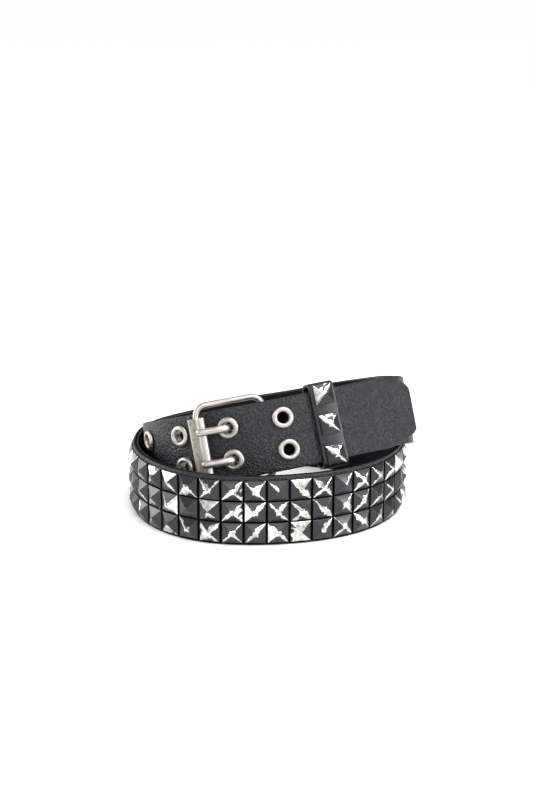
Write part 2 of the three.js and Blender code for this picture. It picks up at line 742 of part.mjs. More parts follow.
// Each prong loops round the heel bar, runs under the tip end, comes out through its eyelet
// and rests on the tip bar
function makeProng(name, up) {
  const loopHalf = prongLoopThickness / 2;
  const half = prongThickness / 2;
  const loopRadius = wireRadius + fitGap + loopHalf;
  const sides = {
    under: {
      reach: frameLength - prongToTipBar,
      height: -layerStep - foldRadius + loopRadius,
      half: loopHalf,
    },
    over: {
      reach: -prongToTipBar,
      height: strapThickness / 2 + 2 * fitGap + sleeveThickness + half,
      half,
    },
  };
  const heelFrame = route.at(heelOverlapAt);
  const points = [];
  const loopSteps = 9;
  const loopStart = 205;
  const loopEnd = 450;
  for (let i = 0; i < loopSteps; i++) {
    const turn = THREE.MathUtils.degToRad(loopStart + (loopEnd - loopStart) * i / loopSteps);
    const point = buckle.heelBar.clone()
      .addScaledVector(heelFrame.up, up)
      .addScaledVector(heelFrame.tangent, loopRadius * Math.cos(turn))
      .addScaledVector(heelFrame.outward, loopRadius * Math.sin(turn));
    points.push({ point, half: loopHalf, wide: 1, frame: heelFrame });
  }
  for (const row of prongPath) {
    const side = sides[row.side];
    const frame = route.at(prongAt + row.along * side.reach);
    const point = beside(frame, up, row.height * side.height);
    points.push({ point, half: row.thick * side.half, wide: row.wide, frame });
  }
  const places = points.map((item, i) => {
    const before = points[Math.max(0, i - 1)].point;
    const after = points[Math.min(points.length - 1, i + 1)].point;
    const way = after.clone().sub(before).normalize();
    const across = item.frame.up.clone().addScaledVector(way, -item.frame.up.dot(way)).normalize();
    const thick = new THREE.Vector3().crossVectors(way, across);
    const halfAcross = item.wide * prongWidth / 2;
    return { point: item.point, across, thick, halfAcross, halfThick: item.half };
  });
  addPiece(name, bar(places, prongSides, false), nickel);
}

// Keeper

// A loop of thin leather round both ends of the strap, following them as they bend
function makeKeeper() {
  const inner = {
    high: strapWidth / 2 + keeperTopClearance,
    low: -strapWidth / 2 - keeperLowClearance,
    outer: strapThickness / 2 + keeperClearance,
    inner: -layerStep - strapThickness / 2 - keeperClearance,
  };
  const ringPoints = (grow, corner) => {
    const centres = [
      [inner.high + grow - corner, inner.outer + grow - corner, 0],
      [inner.low - grow + corner, inner.outer + grow - corner, 90],
      [inner.low - grow + corner, inner.inner - grow + corner, 180],
      [inner.high + grow - corner, inner.inner - grow + corner, 270],
    ];
    const points = [];
    for (const [up, outward, start] of centres) {
      for (let i = 0; i <= keeperCornerSteps; i++) {
        const turn = THREE.MathUtils.degToRad(start + 90 * i / keeperCornerSteps);
        points.push([up + corner * Math.cos(turn), outward + corner * Math.sin(turn)]);
      }
    }
    return points;
  };
  const outerRing = ringPoints(keeperThickness, keeperCorner);
  const innerRing = ringPoints(0, keeperCorner - keeperThickness);
  const positions = [];
  const index = [];
  const put = (p) => positions.push(p.x, p.y, p.z) / 3 - 1;
  const middle = heelOverlapAt + keeperFromHeel;
  const steps = [-0.5, 0, 0.5].map((share) => {
    const frame = route.at(middle + share * keeperWidth);
    const ring = (points) => points.map(([up, outward]) => put(beside(frame, up, outward)));
    return { out: ring(outerRing), inn: ring(innerRing) };
  });
  const count = outerRing.length;
  const quad = (a, b, c, d) => index.push(a, b, c, a, c, d);
  for (let j = 0; j < count; j++) {
    const k = (j + 1) % count;
    for (let i = 0; i < steps.length - 1; i++) {
      quad(steps[i].out[j], steps[i + 1].out[j], steps[i + 1].out[k], steps[i].out[k]);
      quad(steps[i].inn[j], steps[i].inn[k], steps[i + 1].inn[k], steps[i + 1].inn[j]);
    }
    const end = steps.length - 1;
    quad(steps[0].out[j], steps[0].out[k], steps[0].inn[k], steps[0].inn[j]);
    quad(steps[end].out[j], steps[end].inn[j], steps[end].inn[k], steps[end].out[k]);
  }
  addPiece('keeper', outwardFacing(positions, index), leather);

  const face = inner.outer + keeperThickness + fitGap;
  const rows = [
    { name: 'upper', up: keeperStudPitch },
    { name: 'middle', up: 0 },
    { name: 'lower', up: -keeperStudPitch },
  ];
  const frame = route.at(middle);
  for (const row of rows) {
    const stud = placed(
      studGeometry(keeperStudSide), frame.tangent, frame.up, frame.outward,
      beside(frame, row.up + keeperRise, face),
    );
    addPiece(`keeper_stud_${row.name}`, stud, studMetal);
  }
}

// Rivets through the strap and its folded tail, with a flat head on the inner side
function makeRivets() {
  const frame = route.at(rivetFromHeel);
  const headSeat = -strapThickness / 2 - strapThickness - 2 * fitGap;
  const profile = [
    [0, headSeat - rivetHeadHeight],
    [rivetHead / 2 * 0.8, headSeat - rivetHeadHeight],
    [rivetHead / 2, headSeat - rivetHeadHeight * 0.5],
    [rivetHead / 2, headSeat],
    [rivetShank / 2, headSeat],
    [rivetShank / 2, strapThickness / 2],
    [0, strapThickness / 2],
  ].map(([radius, height]) => new THREE.Vector2(radius, height));
  for (const place of rivetPlaces()) {
    const rivet = new THREE.LatheGeometry(profile, rivetSides);
    placed(rivet, frame.up, frame.outward, frame.tangent, beside(frame, place.up, 0));
    addPiece(place.name, welded(rivet), nickel);
  }
}

makeStrap();
makeStudField();
makeEyelets();
makeFrame();
makeSleeve();
makeProng('prong_upper', eyeletRowPitch / 2);
makeProng('prong_lower', -eyeletRowPitch / 2);
makeKeeper();
makeRivets();

// The origin goes to the floor below the middle of the whole belt
const bounds = new THREE.Box3().setFromObject(belt);
const middle = bounds.getCenter(new THREE.Vector3());
belt.position.set(-middle.x, -middle.y, -bounds.min.z);

export default belt;
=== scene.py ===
# Looks of the studded belt: leather, painted studs, nickel buckle and eyelets.
# The strap's route and the sizes are those of part.mjs, in millimetres, and turned into metres last.
import math
import random

import bpy
import numpy as np
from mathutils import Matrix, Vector


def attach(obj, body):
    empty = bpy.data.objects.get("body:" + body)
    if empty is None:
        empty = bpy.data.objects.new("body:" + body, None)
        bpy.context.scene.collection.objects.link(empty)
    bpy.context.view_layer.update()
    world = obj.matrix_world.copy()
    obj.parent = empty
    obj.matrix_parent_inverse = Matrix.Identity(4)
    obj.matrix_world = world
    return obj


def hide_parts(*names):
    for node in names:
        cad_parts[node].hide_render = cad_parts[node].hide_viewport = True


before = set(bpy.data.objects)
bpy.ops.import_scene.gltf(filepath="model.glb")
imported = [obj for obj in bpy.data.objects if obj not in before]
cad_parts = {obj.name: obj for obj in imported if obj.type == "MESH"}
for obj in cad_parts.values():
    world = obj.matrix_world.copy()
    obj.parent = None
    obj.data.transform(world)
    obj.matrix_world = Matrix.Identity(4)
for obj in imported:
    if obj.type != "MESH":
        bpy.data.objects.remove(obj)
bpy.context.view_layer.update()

# Millimetres to metres, and the move from the coil's middle to the middle of the belt's box
METRE = 0.001
COIL_SHIFT = np.array([-1.98635, 1.68463, 0.0])

# Leather strap
STRAP_WIDTH = 38
STRAP_THICKNESS = 3.3
TIP_LENGTH = 81.8
TIP_CUT_LENGTH = 25
TIP_END_WIDTH = 21
FOLD_TAIL_LENGTH = 22
FOLD_TRIM_LENGTH = 12
SECTION_STEP = 2
EDGE_ROUND = 0.75
FACE_COLUMNS = 25
GROOVE_HALF_WIDTH = 0.5
GROOVE_DEPTH = 0.5
# Painted shade on the buckle end's face under the tip: its length from the heel, and the face columns left
# out at each edge
PAINTED_SHADE_LENGTH = 80
PAINTED_SHADE_MARGIN = 3

# The dish pressed round each eyelet: how far it is worked out, its depth, radius and width
DISH_REACH = 14
DISH_DEPTH = 0.3
DISH_RADIUS = 5.9
DISH_WIDTH = 1.9

# The strap's materials by number; the last is near-black leather, painted shade between the layers, under the
# studs and in the groove
FACE_KIND, EDGE_KIND, BACK_KIND, PAINTED_SHADE_KIND = range(4)

# Coil
COIL_RADIUS = 75
TURN_CLEARANCE = 1.3
LAYER_GAP = 0.5
BUCKLE_END_RISE = 1.1
LEAN_AZIMUTH = 120
FIT_GAP = 0.3

# Studs
STUD_ROWS = 3
STUD_COLUMNS = 49
STUD_PITCH = 11.82
STUD_ROW_PITCH = 11.67
STUD_SIDE = 11
STUD_HEIGHT = 2.9
STUD_SHEET = 0.3
STUD_SKIRT = 0.5
STUD_LOW_MARGIN = 1.25
STUDS_FROM_HEEL = 133.4

# Eyelets
EYELET_COLUMNS = 5
PRONG_COLUMN = 1
EYELET_PITCH = 29.2
EYELET_ROW_PITCH = 17.2
EYELET_HOLE = 6
EYELET_OUTER = 11.5
EYELET_BACK_OUTER = 9.6
EYELET_WALL = 0.6
EYELET_DOME = 1.1

# Buckle
WIRE_DIAMETER = 3.3
FRAME_LENGTH = 35.6
FRAME_INNER_HEIGHT = 41
FRAME_RISE = 0.5
FRAME_CORNER_RADIUS = 6.2
PRONG_TO_TIP_BAR = 15.6
SLEEVE_WIDTH = 9.2
SLEEVE_THICKNESS = 4.7
PRONG_WIDTH = 3.9
PRONG_THICKNESS = 3
PRONG_LOOP_THICKNESS = 2.6

# Keeper
KEEPER_FROM_HEEL = 32.2
KEEPER_WIDTH = 14.2
KEEPER_THICKNESS = 1.8
KEEPER_CLEARANCE = 0.5
KEEPER_TOP_CLEARANCE = 2.4
KEEPER_LOW_CLEARANCE = 1.8
KEEPER_CORNER = 3.6
KEEPER_STUD_SIDE = 10.8
KEEPER_STUD_PITCH = 16.3
KEEPER_RISE = 0.3

# Rivets
RIVET_FROM_HEEL = 17
RIVET_SPACING = 20
RIVET_HEAD = 8
RIVET_HEAD_HEIGHT = 1.1
RIVET_SHANK = 3

# The strap's way round the coil: degrees travelled, the radius as a share of the coil radius,
# turn steps further in, height as a share of the strap's width, and lean in degrees.
# The rows from 556.3 to 692.9 degrees are rounded output of a least-squares fit to the photo,
# and the rows of the studded front rest on another such fit.
OUTER_TURN = [
    (-3.8, 1.016, 0, 1.415, 21), (3.3, 1.035, 0, 1.337, 19), (11, 1.046, 0, 1.26, 17),
    (19.4, 1.046, 0, 1.185, 15), (28, 1.035, 0, 1.11, 14), (37.5, 1.008, 0, 1.01, 12),
    (55.9, 0.951, 0, 0.83, 10), (76.5, 0.905, 0, 0.66, 7), (97.8, 0.88, 0, 0.56, 4),
    (118.5, 0.842, 0, 0.513, 1.5), (139, 0.856, 0, 0.5, 0), (155.5, 0.918, 0, 0.5, 0),
    (170, 0.96, 0, 0.5, 0), (183, 0.978, 0, 0.5, 0), (195, 0.998, 0, 0.5, 0),
    (209, 1.013, 0, 0.5, 0), (226, 1.017, 0, 0.5, 0), (242, 1.002, 0, 0.5, 0),
    (260, 0.963, 0, 0.5, 0), (279, 0.936, 0, 0.5, 0), (298, 0.943, 0, 0.5, 0),
    (317, 0.964, 0, 0.5, 0), (335, 0.98, 0, 0.5, 0), (350, 0.986, 0, 0.5, 0),
    (362, 0.976, 0, 0.5, 0),
]
UPPER_TURN = [
    (374, 1.065, 1, 0.5, 0), (386, 1.04, 1, 0.5, 0), (398, 1.003, 1, 0.5, 0),
    (416, 0.943, 1, 0.5, 0), (436.5, 0.9, 1, 0.5, 0), (457.8, 0.877, 1, 0.5, 0),
    (478.5, 0.84, 1, 0.5, 0), (499, 0.852, 1, 0.503, 0), (514, 0.907, 1, 0.513, 4),
    (527, 0.952, 1, 0.55, 9.5), (540, 0.985, 1, 0.647, 15), (556.3, 0.98, 1, 0.826, 19),
    (576.5, 0.932, 1, 1.029, 19), (598.3, 0.868, 1, 1.216, 19), (622.3, 0.827, 1, 1.371, 19.5),
    (647.4, 0.825, 1, 1.479, 20.5), (672, 0.873, 1, 1.532, 21.5), (692.9, 0.987, 1, 1.534, 22),
    (710.9, 1.178, 1, 1.478, 22.5),
]

# The cut corners of the tip: shares of the cut's length, and of its depth above and below
TIP_OUTLINE = [
    (0, 0, 0), (0.3, 0.08, 0.12), (0.6, 0.24, 0.38), (0.84, 0.42, 0.62), (0.94, 0.6, 0.78),
    (1, 1, 1),
]

# A prong's way: side of the tip end, share of the way to that side's bar, share of its resting
# height, and shares of its thickness and width
PRONG_PATH = [
    ("under", 1, 1, 1, 1), ("under", 0.5, 1, 1, 1), ("under", 0.22, 1, 1, 1),
    ("under", 0.115, 0.86, 1, 1), ("under", 0.05, 0.45, 1, 1), ("under", 0.02, 0, 1, 1),
    ("over", 0.032, 0.34, 0.87, 1), ("over", 0.192, 0.64, 1, 1), ("over", 0.55, 0.85, 1, 1),
    ("over", 0.85, 1, 1, 1), ("over", 0.9, 1, 0.85, 0.9), ("over", 0.923, 1, 0.5, 0.6),
]

# Where the paint is scraped from the studs in front, row by row from above, from column 18 on.
# a, b, c and d are the ridges to the upper left, upper right, lower right and lower left, and
# n, e, s and w the facets. A capital letter is a wide scrape or a whole facet, and a dot a stud
# with no scrapes.
CHART_START = 18
SCRAPE_CHART = [
    "Nw ws dn Nc sdc Abd bed Bac a NCa ACdb b AcDb aEd aD Nw",
    "aw Wc s Esw . Nsa bde WB Bac asC AC cbe Bd de ade b",
    "w aW d s A Bsw bdc Bd Wac NSw B acd Ae bd ce a",
]
KEEPER_CHART = ["nWb", "acn", "Acn"]
WIDE_RIDGE = 0.44
THIN_RIDGE = 0.24
WHOLE_FACET = 1.0
PART_FACET = 0.58

random_source = random.Random(7)


def natural_spline(knots, values):
    """A natural cubic spline through rows of values, as a function of places along it."""
    count = len(knots)
    span = np.diff(knots)
    matrix = np.eye(count)
    right = np.zeros_like(values)
    slope = np.diff(values, axis=0) / span[:, None]
    for i in range(1, count - 1):
        matrix[i, i - 1:i + 2] = (span[i - 1], 2 * (span[i - 1] + span[i]), span[i])
        right[i] = 6 * (slope[i] - slope[i - 1])
    bend = np.linalg.solve(matrix, right)

    def read(x):
        i = np.clip(np.searchsorted(knots, x, side="right") - 1, 0, count - 2)
        b = ((x - knots[i]) / span[i])[:, None]
        a = 1 - b
        curve = (a**3 - a) * bend[i] + (b**3 - b) * bend[i + 1]
        return a * values[i] + b * values[i + 1] + curve * span[i][:, None] ** 2 / 6

    return read


def unit(vectors):
    return vectors / np.linalg.norm(vectors, axis=-1, keepdims=True)


class Frames:
    """Places along the route, each with its tangent, upward and outward direction."""

    def __init__(self, point, tangent, up, outward):
        self.point, self.tangent, self.up, self.outward = point, tangent, up, outward

    def beside(self, up, outward, along=0):
        up, outward, along = (np.asarray(x, float)[..., None] for x in (up, outward, along))
        return self.point + self.up * up + self.outward * outward + self.tangent * along


class Route:
    """A smooth curve with an upward direction at each point, read by its length."""

    def __init__(self, points, ups):
        knots = np.concatenate([[0], np.cumsum(np.linalg.norm(np.diff(points, axis=0), axis=1))])
        self.spline = natural_spline(knots, points)
        self.up_spline = natural_spline(knots, ups)
        self.samples = np.linspace(0, knots[-1], 6001)
        steps = np.linalg.norm(np.diff(self.spline(self.samples), axis=0), axis=1)
        self.reached = np.concatenate([[0], np.cumsum(steps)])
        self.length = self.reached[-1]

    def at(self, along):
        x = np.interp(np.atleast_1d(along), self.reached, self.samples)
        point = self.spline(x)
        tangent = unit(self.spline(x + 0.01) - self.spline(x - 0.01))
        up = self.up_spline(x)
        up = unit(up - (up * tangent).sum(1, keepdims=True) * tangent)
        return Frames(point, tangent, up, np.cross(tangent, up))


def smoothstep(x, low, high):
    t = np.clip((x - low) / (high - low), 0, 1)
    return t * t * (3 - 2 * t)


TURN_STEP = STRAP_THICKNESS + FIT_GAP + STUD_SHEET + STUD_HEIGHT + TURN_CLEARANCE
LAYER_STEP = STRAP_THICKNESS + LAYER_GAP
WIRE_RADIUS = WIRE_DIAMETER / 2
FOLD_RADIUS = WIRE_RADIUS + FIT_GAP + STRAP_THICKNESS / 2
STRAIGHT_BAR = FRAME_INNER_HEIGHT + WIRE_DIAMETER - 2 * FRAME_CORNER_RADIUS
HALF = STRAP_THICKNESS / 2


def row_points(rows):
    angle, radius, steps, lift, lean = np.array(rows, float).T
    angle, lean, azimuth = np.radians(angle), np.radians(lean), math.radians(LEAN_AZIMUTH)
    radius = radius * COIL_RADIUS - steps * TURN_STEP
    points = np.stack([radius * np.cos(angle), radius * np.sin(angle), lift * STRAP_WIDTH], 1)
    ups = np.stack([np.sin(lean) * math.cos(azimuth), np.sin(lean) * math.sin(azimuth), np.cos(lean)], 1)
    return points, ups


def make_route():
    """The whole strap: the buckle end under the tip end, then the outer turn and the upper turn."""
    tip_points, tip_ups = row_points(UPPER_TURN)
    tip_route = Route(tip_points, tip_ups)
    prong = tip_route.length - TIP_LENGTH - PRONG_COLUMN * EYELET_PITCH
    heel = prong - PRONG_TO_TIP_BAR + FRAME_LENGTH
    reach = tip_route.length - heel
    count = round(reach / 12)
    share = np.arange(count) / (count - 0.6)
    under = tip_route.at(heel + share * reach)
    rise = BUCKLE_END_RISE * smoothstep(share, 0.4, 0.8)
    points, ups = row_points(OUTER_TURN + UPPER_TURN)
    return Route(
        np.concatenate([under.beside(rise, -LAYER_STEP), points]),
        np.concatenate([under.up, ups]),
    )


route = make_route()
PRONG_AT = route.length - TIP_LENGTH - PRONG_COLUMN * EYELET_PITCH
HEEL_OVERLAP_AT = PRONG_AT - PRONG_TO_TIP_BAR + FRAME_LENGTH


# Mesh helpers


def add_mesh(name, points, faces, smooth_angle=35):
    """A mesh object from points in the coil's millimetres."""
    mesh = bpy.data.meshes.new(name)
    placed = (np.asarray(points, float).reshape(-1, 3) + COIL_SHIFT) * METRE
    mesh.from_pydata(placed.tolist(), [], [list(map(int, f)) for f in faces])
    mesh.validate()
    obj = bpy.data.objects.new(name, mesh)
    bpy.context.scene.collection.objects.link(obj)
    face_outward(mesh)
    mesh.shade_smooth()
    mesh.set_sharp_from_angle(angle=math.radians(smooth_angle))
    return obj


def face_outward(mesh):
    """Turns a closed mesh's faces outward, by the sign of its volume."""
    mesh.calc_loop_triangles()
    corners = np.array([v.co for v in mesh.vertices])
    triangles = np.array([t.vertices for t in mesh.loop_triangles])
    a, b, c = (corners[triangles[:, i]] for i in range(3))
    if (a * np.cross(b, c)).sum() < 0:
        mesh.flip_normals()


def loft(loops, closed):
    """Points and faces of a skin through loops of equal size, with flat ends if it isn't closed."""
    loops = np.asarray(loops)
    rings, size = loops.shape[:2]
    faces = []
    for i in range(rings if closed else rings - 1):
        a, b = i * size, ((i + 1) % rings) * size
        for j in range(size):
            k = (j + 1) % size
            faces.append((a + j, a + k, b + k, b + j))
    if not closed:
        faces.append(tuple(range(size)))
        faces.append(tuple(reversed(range((rings - 1) * size, rings * size))))
    return loops.reshape(-1, 3), faces


def tube(name, points, across, thick, half_across, half_thick, sides, closed):
    """A round or oval bar along points, with two directions across it and two half sizes."""
    turn = 2 * np.pi * (np.arange(sides) + 0.5) / sides
    cos, sin = np.cos(turn)[None, :, None], np.sin(turn)[None, :, None]
    half_across = np.broadcast_to(half_across, len(points))[:, None, None]
    half_thick = np.broadcast_to(half_thick, len(points))[:, None, None]
    loops = points[:, None] + across[:, None] * cos * half_across + thick[:, None] * sin * half_thick
    return add_mesh(name, *loft(loops, closed), smooth_angle=50)


def paint(obj, kinds, *materials):
    """Gives a mesh its materials, and each face the number of one of them."""
    for material in materials:
        obj.data.materials.append(material)
    obj.data.polygons.foreach_set("material_index", np.asarray(kinds, np.int32))


def dress(obj, *materials, slot):
    """Gives a finished piece its materials and its body; the slot argument is not used."""
    for material in materials:
        obj.data.materials.append(material)
    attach(obj, "root")
    return obj


def apply_modifiers(obj):
    """Replaces the object's mesh by what its modifiers make of it."""
    bpy.context.view_layer.update()
    evaluated = obj.evaluated_get(bpy.context.evaluated_depsgraph_get())
    made = bpy.data.meshes.new_from_object(evaluated)
    obj.modifiers.clear()
    obj.data = made


# Materials


class Nodes:
    """A short way to build a material's nodes."""

    def __init__(self, name, **constants):
        self.material = bpy.data.materials.new(name)
        self.material.use_nodes = True
        self.tree = self.material.node_tree
        self.shader = self.tree.nodes["Principled BSDF"]
        for key, value in constants.items():
            self.shader.inputs[key.replace("_", " ")].default_value = value
        self.place = self.add("ShaderNodeTexCoord").outputs["Object"]

    def add(self, kind, **settings):
        node = self.tree.nodes.new(kind)
        for key, value in settings.items():
            setattr(node, key, value)
        return node

    def put(self, socket, value):
        if isinstance(value, bpy.types.NodeSocket):
            self.tree.links.new(value, socket)
        else:
            socket.default_value = value

    def math(self, operation, *values):
        node = self.add("ShaderNodeMath", operation=operation)
        for socket, value in zip(node.inputs, values):
            self.put(socket, value)
        return node.outputs[0]

    def noise(self, scale, detail=3.0, roughness=0.5, place=None, distortion=0.0):
        node = self.add("ShaderNodeTexNoise")
        self.put(node.inputs["Vector"], place or self.place)
        self.put(node.inputs["Scale"], scale)
        self.put(node.inputs["Detail"], detail)
        self.put(node.inputs["Roughness"], roughness)
        self.put(node.inputs["Distortion"], distortion)
        return node.outputs["Fac"]

    def cells(self, scale, feature="F1", place=None):
        node = self.add("ShaderNodeTexVoronoi", feature=feature)
        self.put(node.inputs["Vector"], place or self.place)
        self.put(node.inputs["Scale"], scale)
        return node.outputs["Distance"]

    def fade(self, value, low, high, start=0.0, end=1.0):
        node = self.add("ShaderNodeMapRange", interpolation_type="SMOOTHSTEP")
        for key, number in (("From Min", low), ("From Max", high), ("To Min", start), ("To Max", end)):
            self.put(node.inputs[key], number)
        self.put(node.inputs["Value"], value)
        return node.outputs["Result"]

    def mix(self, share, first, second):
        node = self.add("ShaderNodeMix", data_type="RGBA")
        self.put(node.inputs["Factor"], share)
        self.put(node.inputs["A"], first)
        self.put(node.inputs["B"], second)
        return [s for s in node.outputs if s.type == "RGBA"][0]

    def bump(self, height, strength, distance, normal=None):
        node = self.add("ShaderNodeBump")
        self.put(node.inputs["Height"], height)
        self.put(node.inputs["Strength"], strength)
        self.put(node.inputs["Distance"], distance)
        if normal:
            self.put(node.inputs["Normal"], normal)
        return node.outputs["Normal"]

    def set(self, **sockets):
        for key, value in sockets.items():
            self.put(self.shader.inputs[key.replace("_", " ")], value)
        return self.material


def leather_face():
    n = Nodes("leather_face", IOR=1.5, Metallic=0.0, Specular_IOR_Level=0.36)
    pebbles = n.cells(800.0)
    fine = n.noise(1700.0, 4.0, 0.6)
    broad = n.noise(28.0, 3.0, 0.5)
    creases = n.noise(520.0, 3.0, 0.6, distortion=1.6)
    grain = n.math("ADD", n.math("MULTIPLY", pebbles, 0.8), n.math("MULTIPLY", fine, 0.4))
    grain = n.math("ADD", grain, n.math("MULTIPLY", creases, 0.9))
    tone = n.mix(n.fade(broad, 0.35, 0.7), (0.0125, 0.012, 0.0172, 1), (0.019, 0.018, 0.025, 1))
    # Low spots of the grain go near black: partly the leather's own dark grain, partly painted shade in its
    # pits and creases.
    colour = n.mix(n.fade(grain, 0.85, 1.3), (0.002, 0.002, 0.003, 1), tone)
    blend = n.math("ADD", n.math("MULTIPLY", broad, 0.5), n.math("MULTIPLY", fine, 0.5))
    rough = n.fade(blend, 0.3, 0.7, 0.34, 0.46)
    rolling = n.bump(broad, 0.3, 0.0008)
    return n.set(Base_Color=colour, Roughness=rough, Normal=n.bump(grain, 1.0, 0.0006, rolling))


def leather_edge():
    n = Nodes("leather_edge", IOR=1.5, Metallic=0.0, Specular_IOR_Level=0.32)
    fibres = n.noise(700.0, 4.0, 0.6, distortion=0.4)
    colour = n.mix(n.fade(fibres, 0.3, 0.7), (0.006, 0.006, 0.007, 1), (0.012, 0.012, 0.014, 1))
    rough = n.fade(fibres, 0.3, 0.7, 0.3, 0.42)
    return n.set(Base_Color=colour, Roughness=rough, Normal=n.bump(fibres, 0.35, 0.0001))


def leather_back():
    n = Nodes("leather_back", IOR=1.45, Metallic=0.0, Specular_IOR_Level=0.1)
    fibres = n.noise(1300.0, 6.0, 0.7, distortion=0.8)
    patches = n.noise(60.0, 2.0, 0.5)
    dark = n.mix(n.fade(patches, 0.35, 0.65), (0.004, 0.004, 0.005, 1), (0.008, 0.008, 0.01, 1))
    colour = n.mix(n.fade(fibres, 0.4, 0.75), dark, (0.016, 0.016, 0.019, 1))
    return n.set(Base_Color=colour, Roughness=0.88, Normal=n.bump(fibres, 0.5, 0.0002))


def leather_painted_shade():
    """Near-black leather, painted shade where light hardly reaches: between the layers and the studs, and in
    the groove.
    """
    n = Nodes("leather_painted_shade", IOR=1.45, Metallic=0.0, Specular_IOR_Level=0.03)
    grain = n.noise(1100.0, 4.0, 0.6)
    colour = n.mix(n.fade(grain, 0.35, 0.7), (0.001, 0.001, 0.001, 1), (0.003, 0.003, 0.003, 1))
    return n.set(Base_Color=colour, Roughness=0.9, Normal=n.bump(grain, 0.5, 0.0002))


def keeper_leather():
    n = Nodes("keeper_leather", IOR=1.5, Metallic=0.0, Specular_IOR_Level=0.35)
    creases = n.noise(160.0, 4.0, 0.55, distortion=0.6)
    fine = n.noise(2400.0, 3.0, 0.6)
    colour = n.mix(n.fade(creases, 0.35, 0.65), (0.007, 0.007, 0.009, 1), (0.014, 0.014, 0.018, 1))
    rough = n.fade(fine, 0.3, 0.7, 0.36, 0.48)
    normal = n.bump(creases, 0.3, 0.0004)
    return n.set(Base_Color=colour, Roughness=rough, Normal=n.bump(fine, 0.3, 0.00008, normal))


def nickel(name, base, dull, rough_low, rough_high, blotch_scale=120.0, relief=0.04):
    n = Nodes(name, Metallic=1.0)
    brushed = n.noise(2200.0, 3.0, 0.6)
    blotches = n.noise(blotch_scale, 4.0, 0.6)
    colour = n.mix(n.fade(blotches, 0.38, 0.72), base, dull)
    share = n.math("ADD", n.math("MULTIPLY", blotches, 0.6), n.math("MULTIPLY", brushed, 0.4))
    rough = n.fade(share, 0.35, 0.65, rough_low, rough_high)
    return n.set(Base_Color=colour, Roughness=rough, Normal=n.bump(share, relief, 0.0001))


def stud_paint():
    """Dark paint scraped to bright metal along the ridges and over parts of the facets.
    The scrape attribute holds the ridge's width, the facet's share and a number of the stud."""
    n = Nodes("stud_paint", IOR=1.5)
    uv = n.add("ShaderNodeUVMap", uv_map="stud").outputs["UV"]
    parts = n.add("ShaderNodeSeparateXYZ")
    n.put(parts.inputs[0], uv)
    marks = n.add("ShaderNodeAttribute", attribute_name="scrape")
    kinds = n.add("ShaderNodeSeparateColor")
    n.put(kinds.inputs[0], marks.outputs["Color"])
    ridge, facet = kinds.outputs[0], kinds.outputs[1]
    sway = n.math("MULTIPLY", n.math("SUBTRACT", n.noise(230.0, 2.0), 0.5), 0.3)
    ragged = n.math("SUBTRACT", n.noise(800.0, 3.0, 0.65), 0.5)
    swell = n.noise(190.0, 1.0)
    u = n.math("ABSOLUTE", n.math("SUBTRACT", n.math("MULTIPLY", parts.outputs[0], 2.0), 1.0))
    v = n.math("ABSOLUTE", n.math("SUBTRACT", n.math("MULTIPLY", parts.outputs[1], 2.0), 1.0))
    reach = n.math("MAXIMUM", u, v)
    off_ridge = n.math("ABSOLUTE", n.math("ADD", n.math("SUBTRACT", u, v), sway))
    taper = n.fade(n.math("ADD", reach, n.math("MULTIPLY", ragged, 0.5)), 0.45, 1.15, 1.0, 0.0)
    width = n.math("MULTIPLY", n.math("MULTIPLY", ridge, taper), n.fade(swell, 0.35, 0.65, 0.35, 1.3))
    stroke = n.math("SUBTRACT", width, n.math("ADD", off_ridge, n.math("MULTIPLY", ragged, 0.26)))
    stroke = n.math("MULTIPLY", n.fade(stroke, 0.0, 0.03), n.math("GREATER_THAN", ridge, 0.01))
    patch = n.math("ADD", n.noise(240.0, 4.0, 0.6, distortion=0.5), n.math("MULTIPLY", facet, 0.62))
    patch = n.math("SUBTRACT", patch, n.fade(reach, 0.35, 1.0, 0.0, 0.12))
    patch = n.math("MULTIPLY", n.fade(patch, 0.75, 0.78), n.math("GREATER_THAN", facet, 0.01))
    near_top = n.math("ADD", reach, n.math("MULTIPLY", ragged, 0.4))
    worn = n.math("SUBTRACT", n.math("MULTIPLY", kinds.outputs[2], 0.26), near_top)
    worn = n.fade(worn, 0.0, 0.03)
    bare = n.math("MAXIMUM", n.math("MAXIMUM", stroke, patch), worn)
    fine = n.noise(2600.0, 3.0, 0.6)
    paint = n.mix(fine, (0.004, 0.004, 0.006, 1), (0.009, 0.009, 0.013, 1))
    metal = n.mix(n.fade(n.noise(420.0, 3.0), 0.35, 0.7), (0.77, 0.76, 0.735, 1), (0.42, 0.405, 0.38, 1))
    # Painted shade: the walls at the stud's foot, in the gaps between studs, go near black, dull and without
    # sheen, and keep no scrapes.
    gap_wall_shade = n.fade(reach, 0.982, 0.998)
    bare = n.math("MULTIPLY", bare, n.math("SUBTRACT", 1.0, gap_wall_shade))
    paint = n.mix(gap_wall_shade, paint, (0.002, 0.002, 0.002, 1))
    rough = n.math("ADD", n.math("MULTIPLY", bare, -0.1), n.fade(gap_wall_shade, 0.0, 1.0, 0.34, 0.8))
    height = n.math("SUBTRACT", n.math("MULTIPLY", fine, 0.15), bare)
    return n.set(
        Base_Color=n.mix(bare, paint, metal),
        Metallic=bare,
        Roughness=rough,
        Specular_IOR_Level=n.fade(gap_wall_shade, 0.0, 1.0, 0.5, 0.0),
        Normal=n.bump(height, 0.25, 0.00006),
    )


LEATHER = leather_face()
EDGE = leather_edge()
BACK = leather_back()
SHADE_LEATHER = leather_painted_shade()
KEEPER_LEATHER = keeper_leather()
NICKEL = nickel("nickel_satin", (0.47, 0.435, 0.41, 1), (0.39, 0.36, 0.335, 1), 0.4, 0.48)
DULL_NICKEL = nickel("nickel_dull", (0.40, 0.365, 0.32, 1), (0.22, 0.195, 0.165, 1), 0.45, 0.6, 600.0, 0.3)
STUD = stud_paint()


# Strap


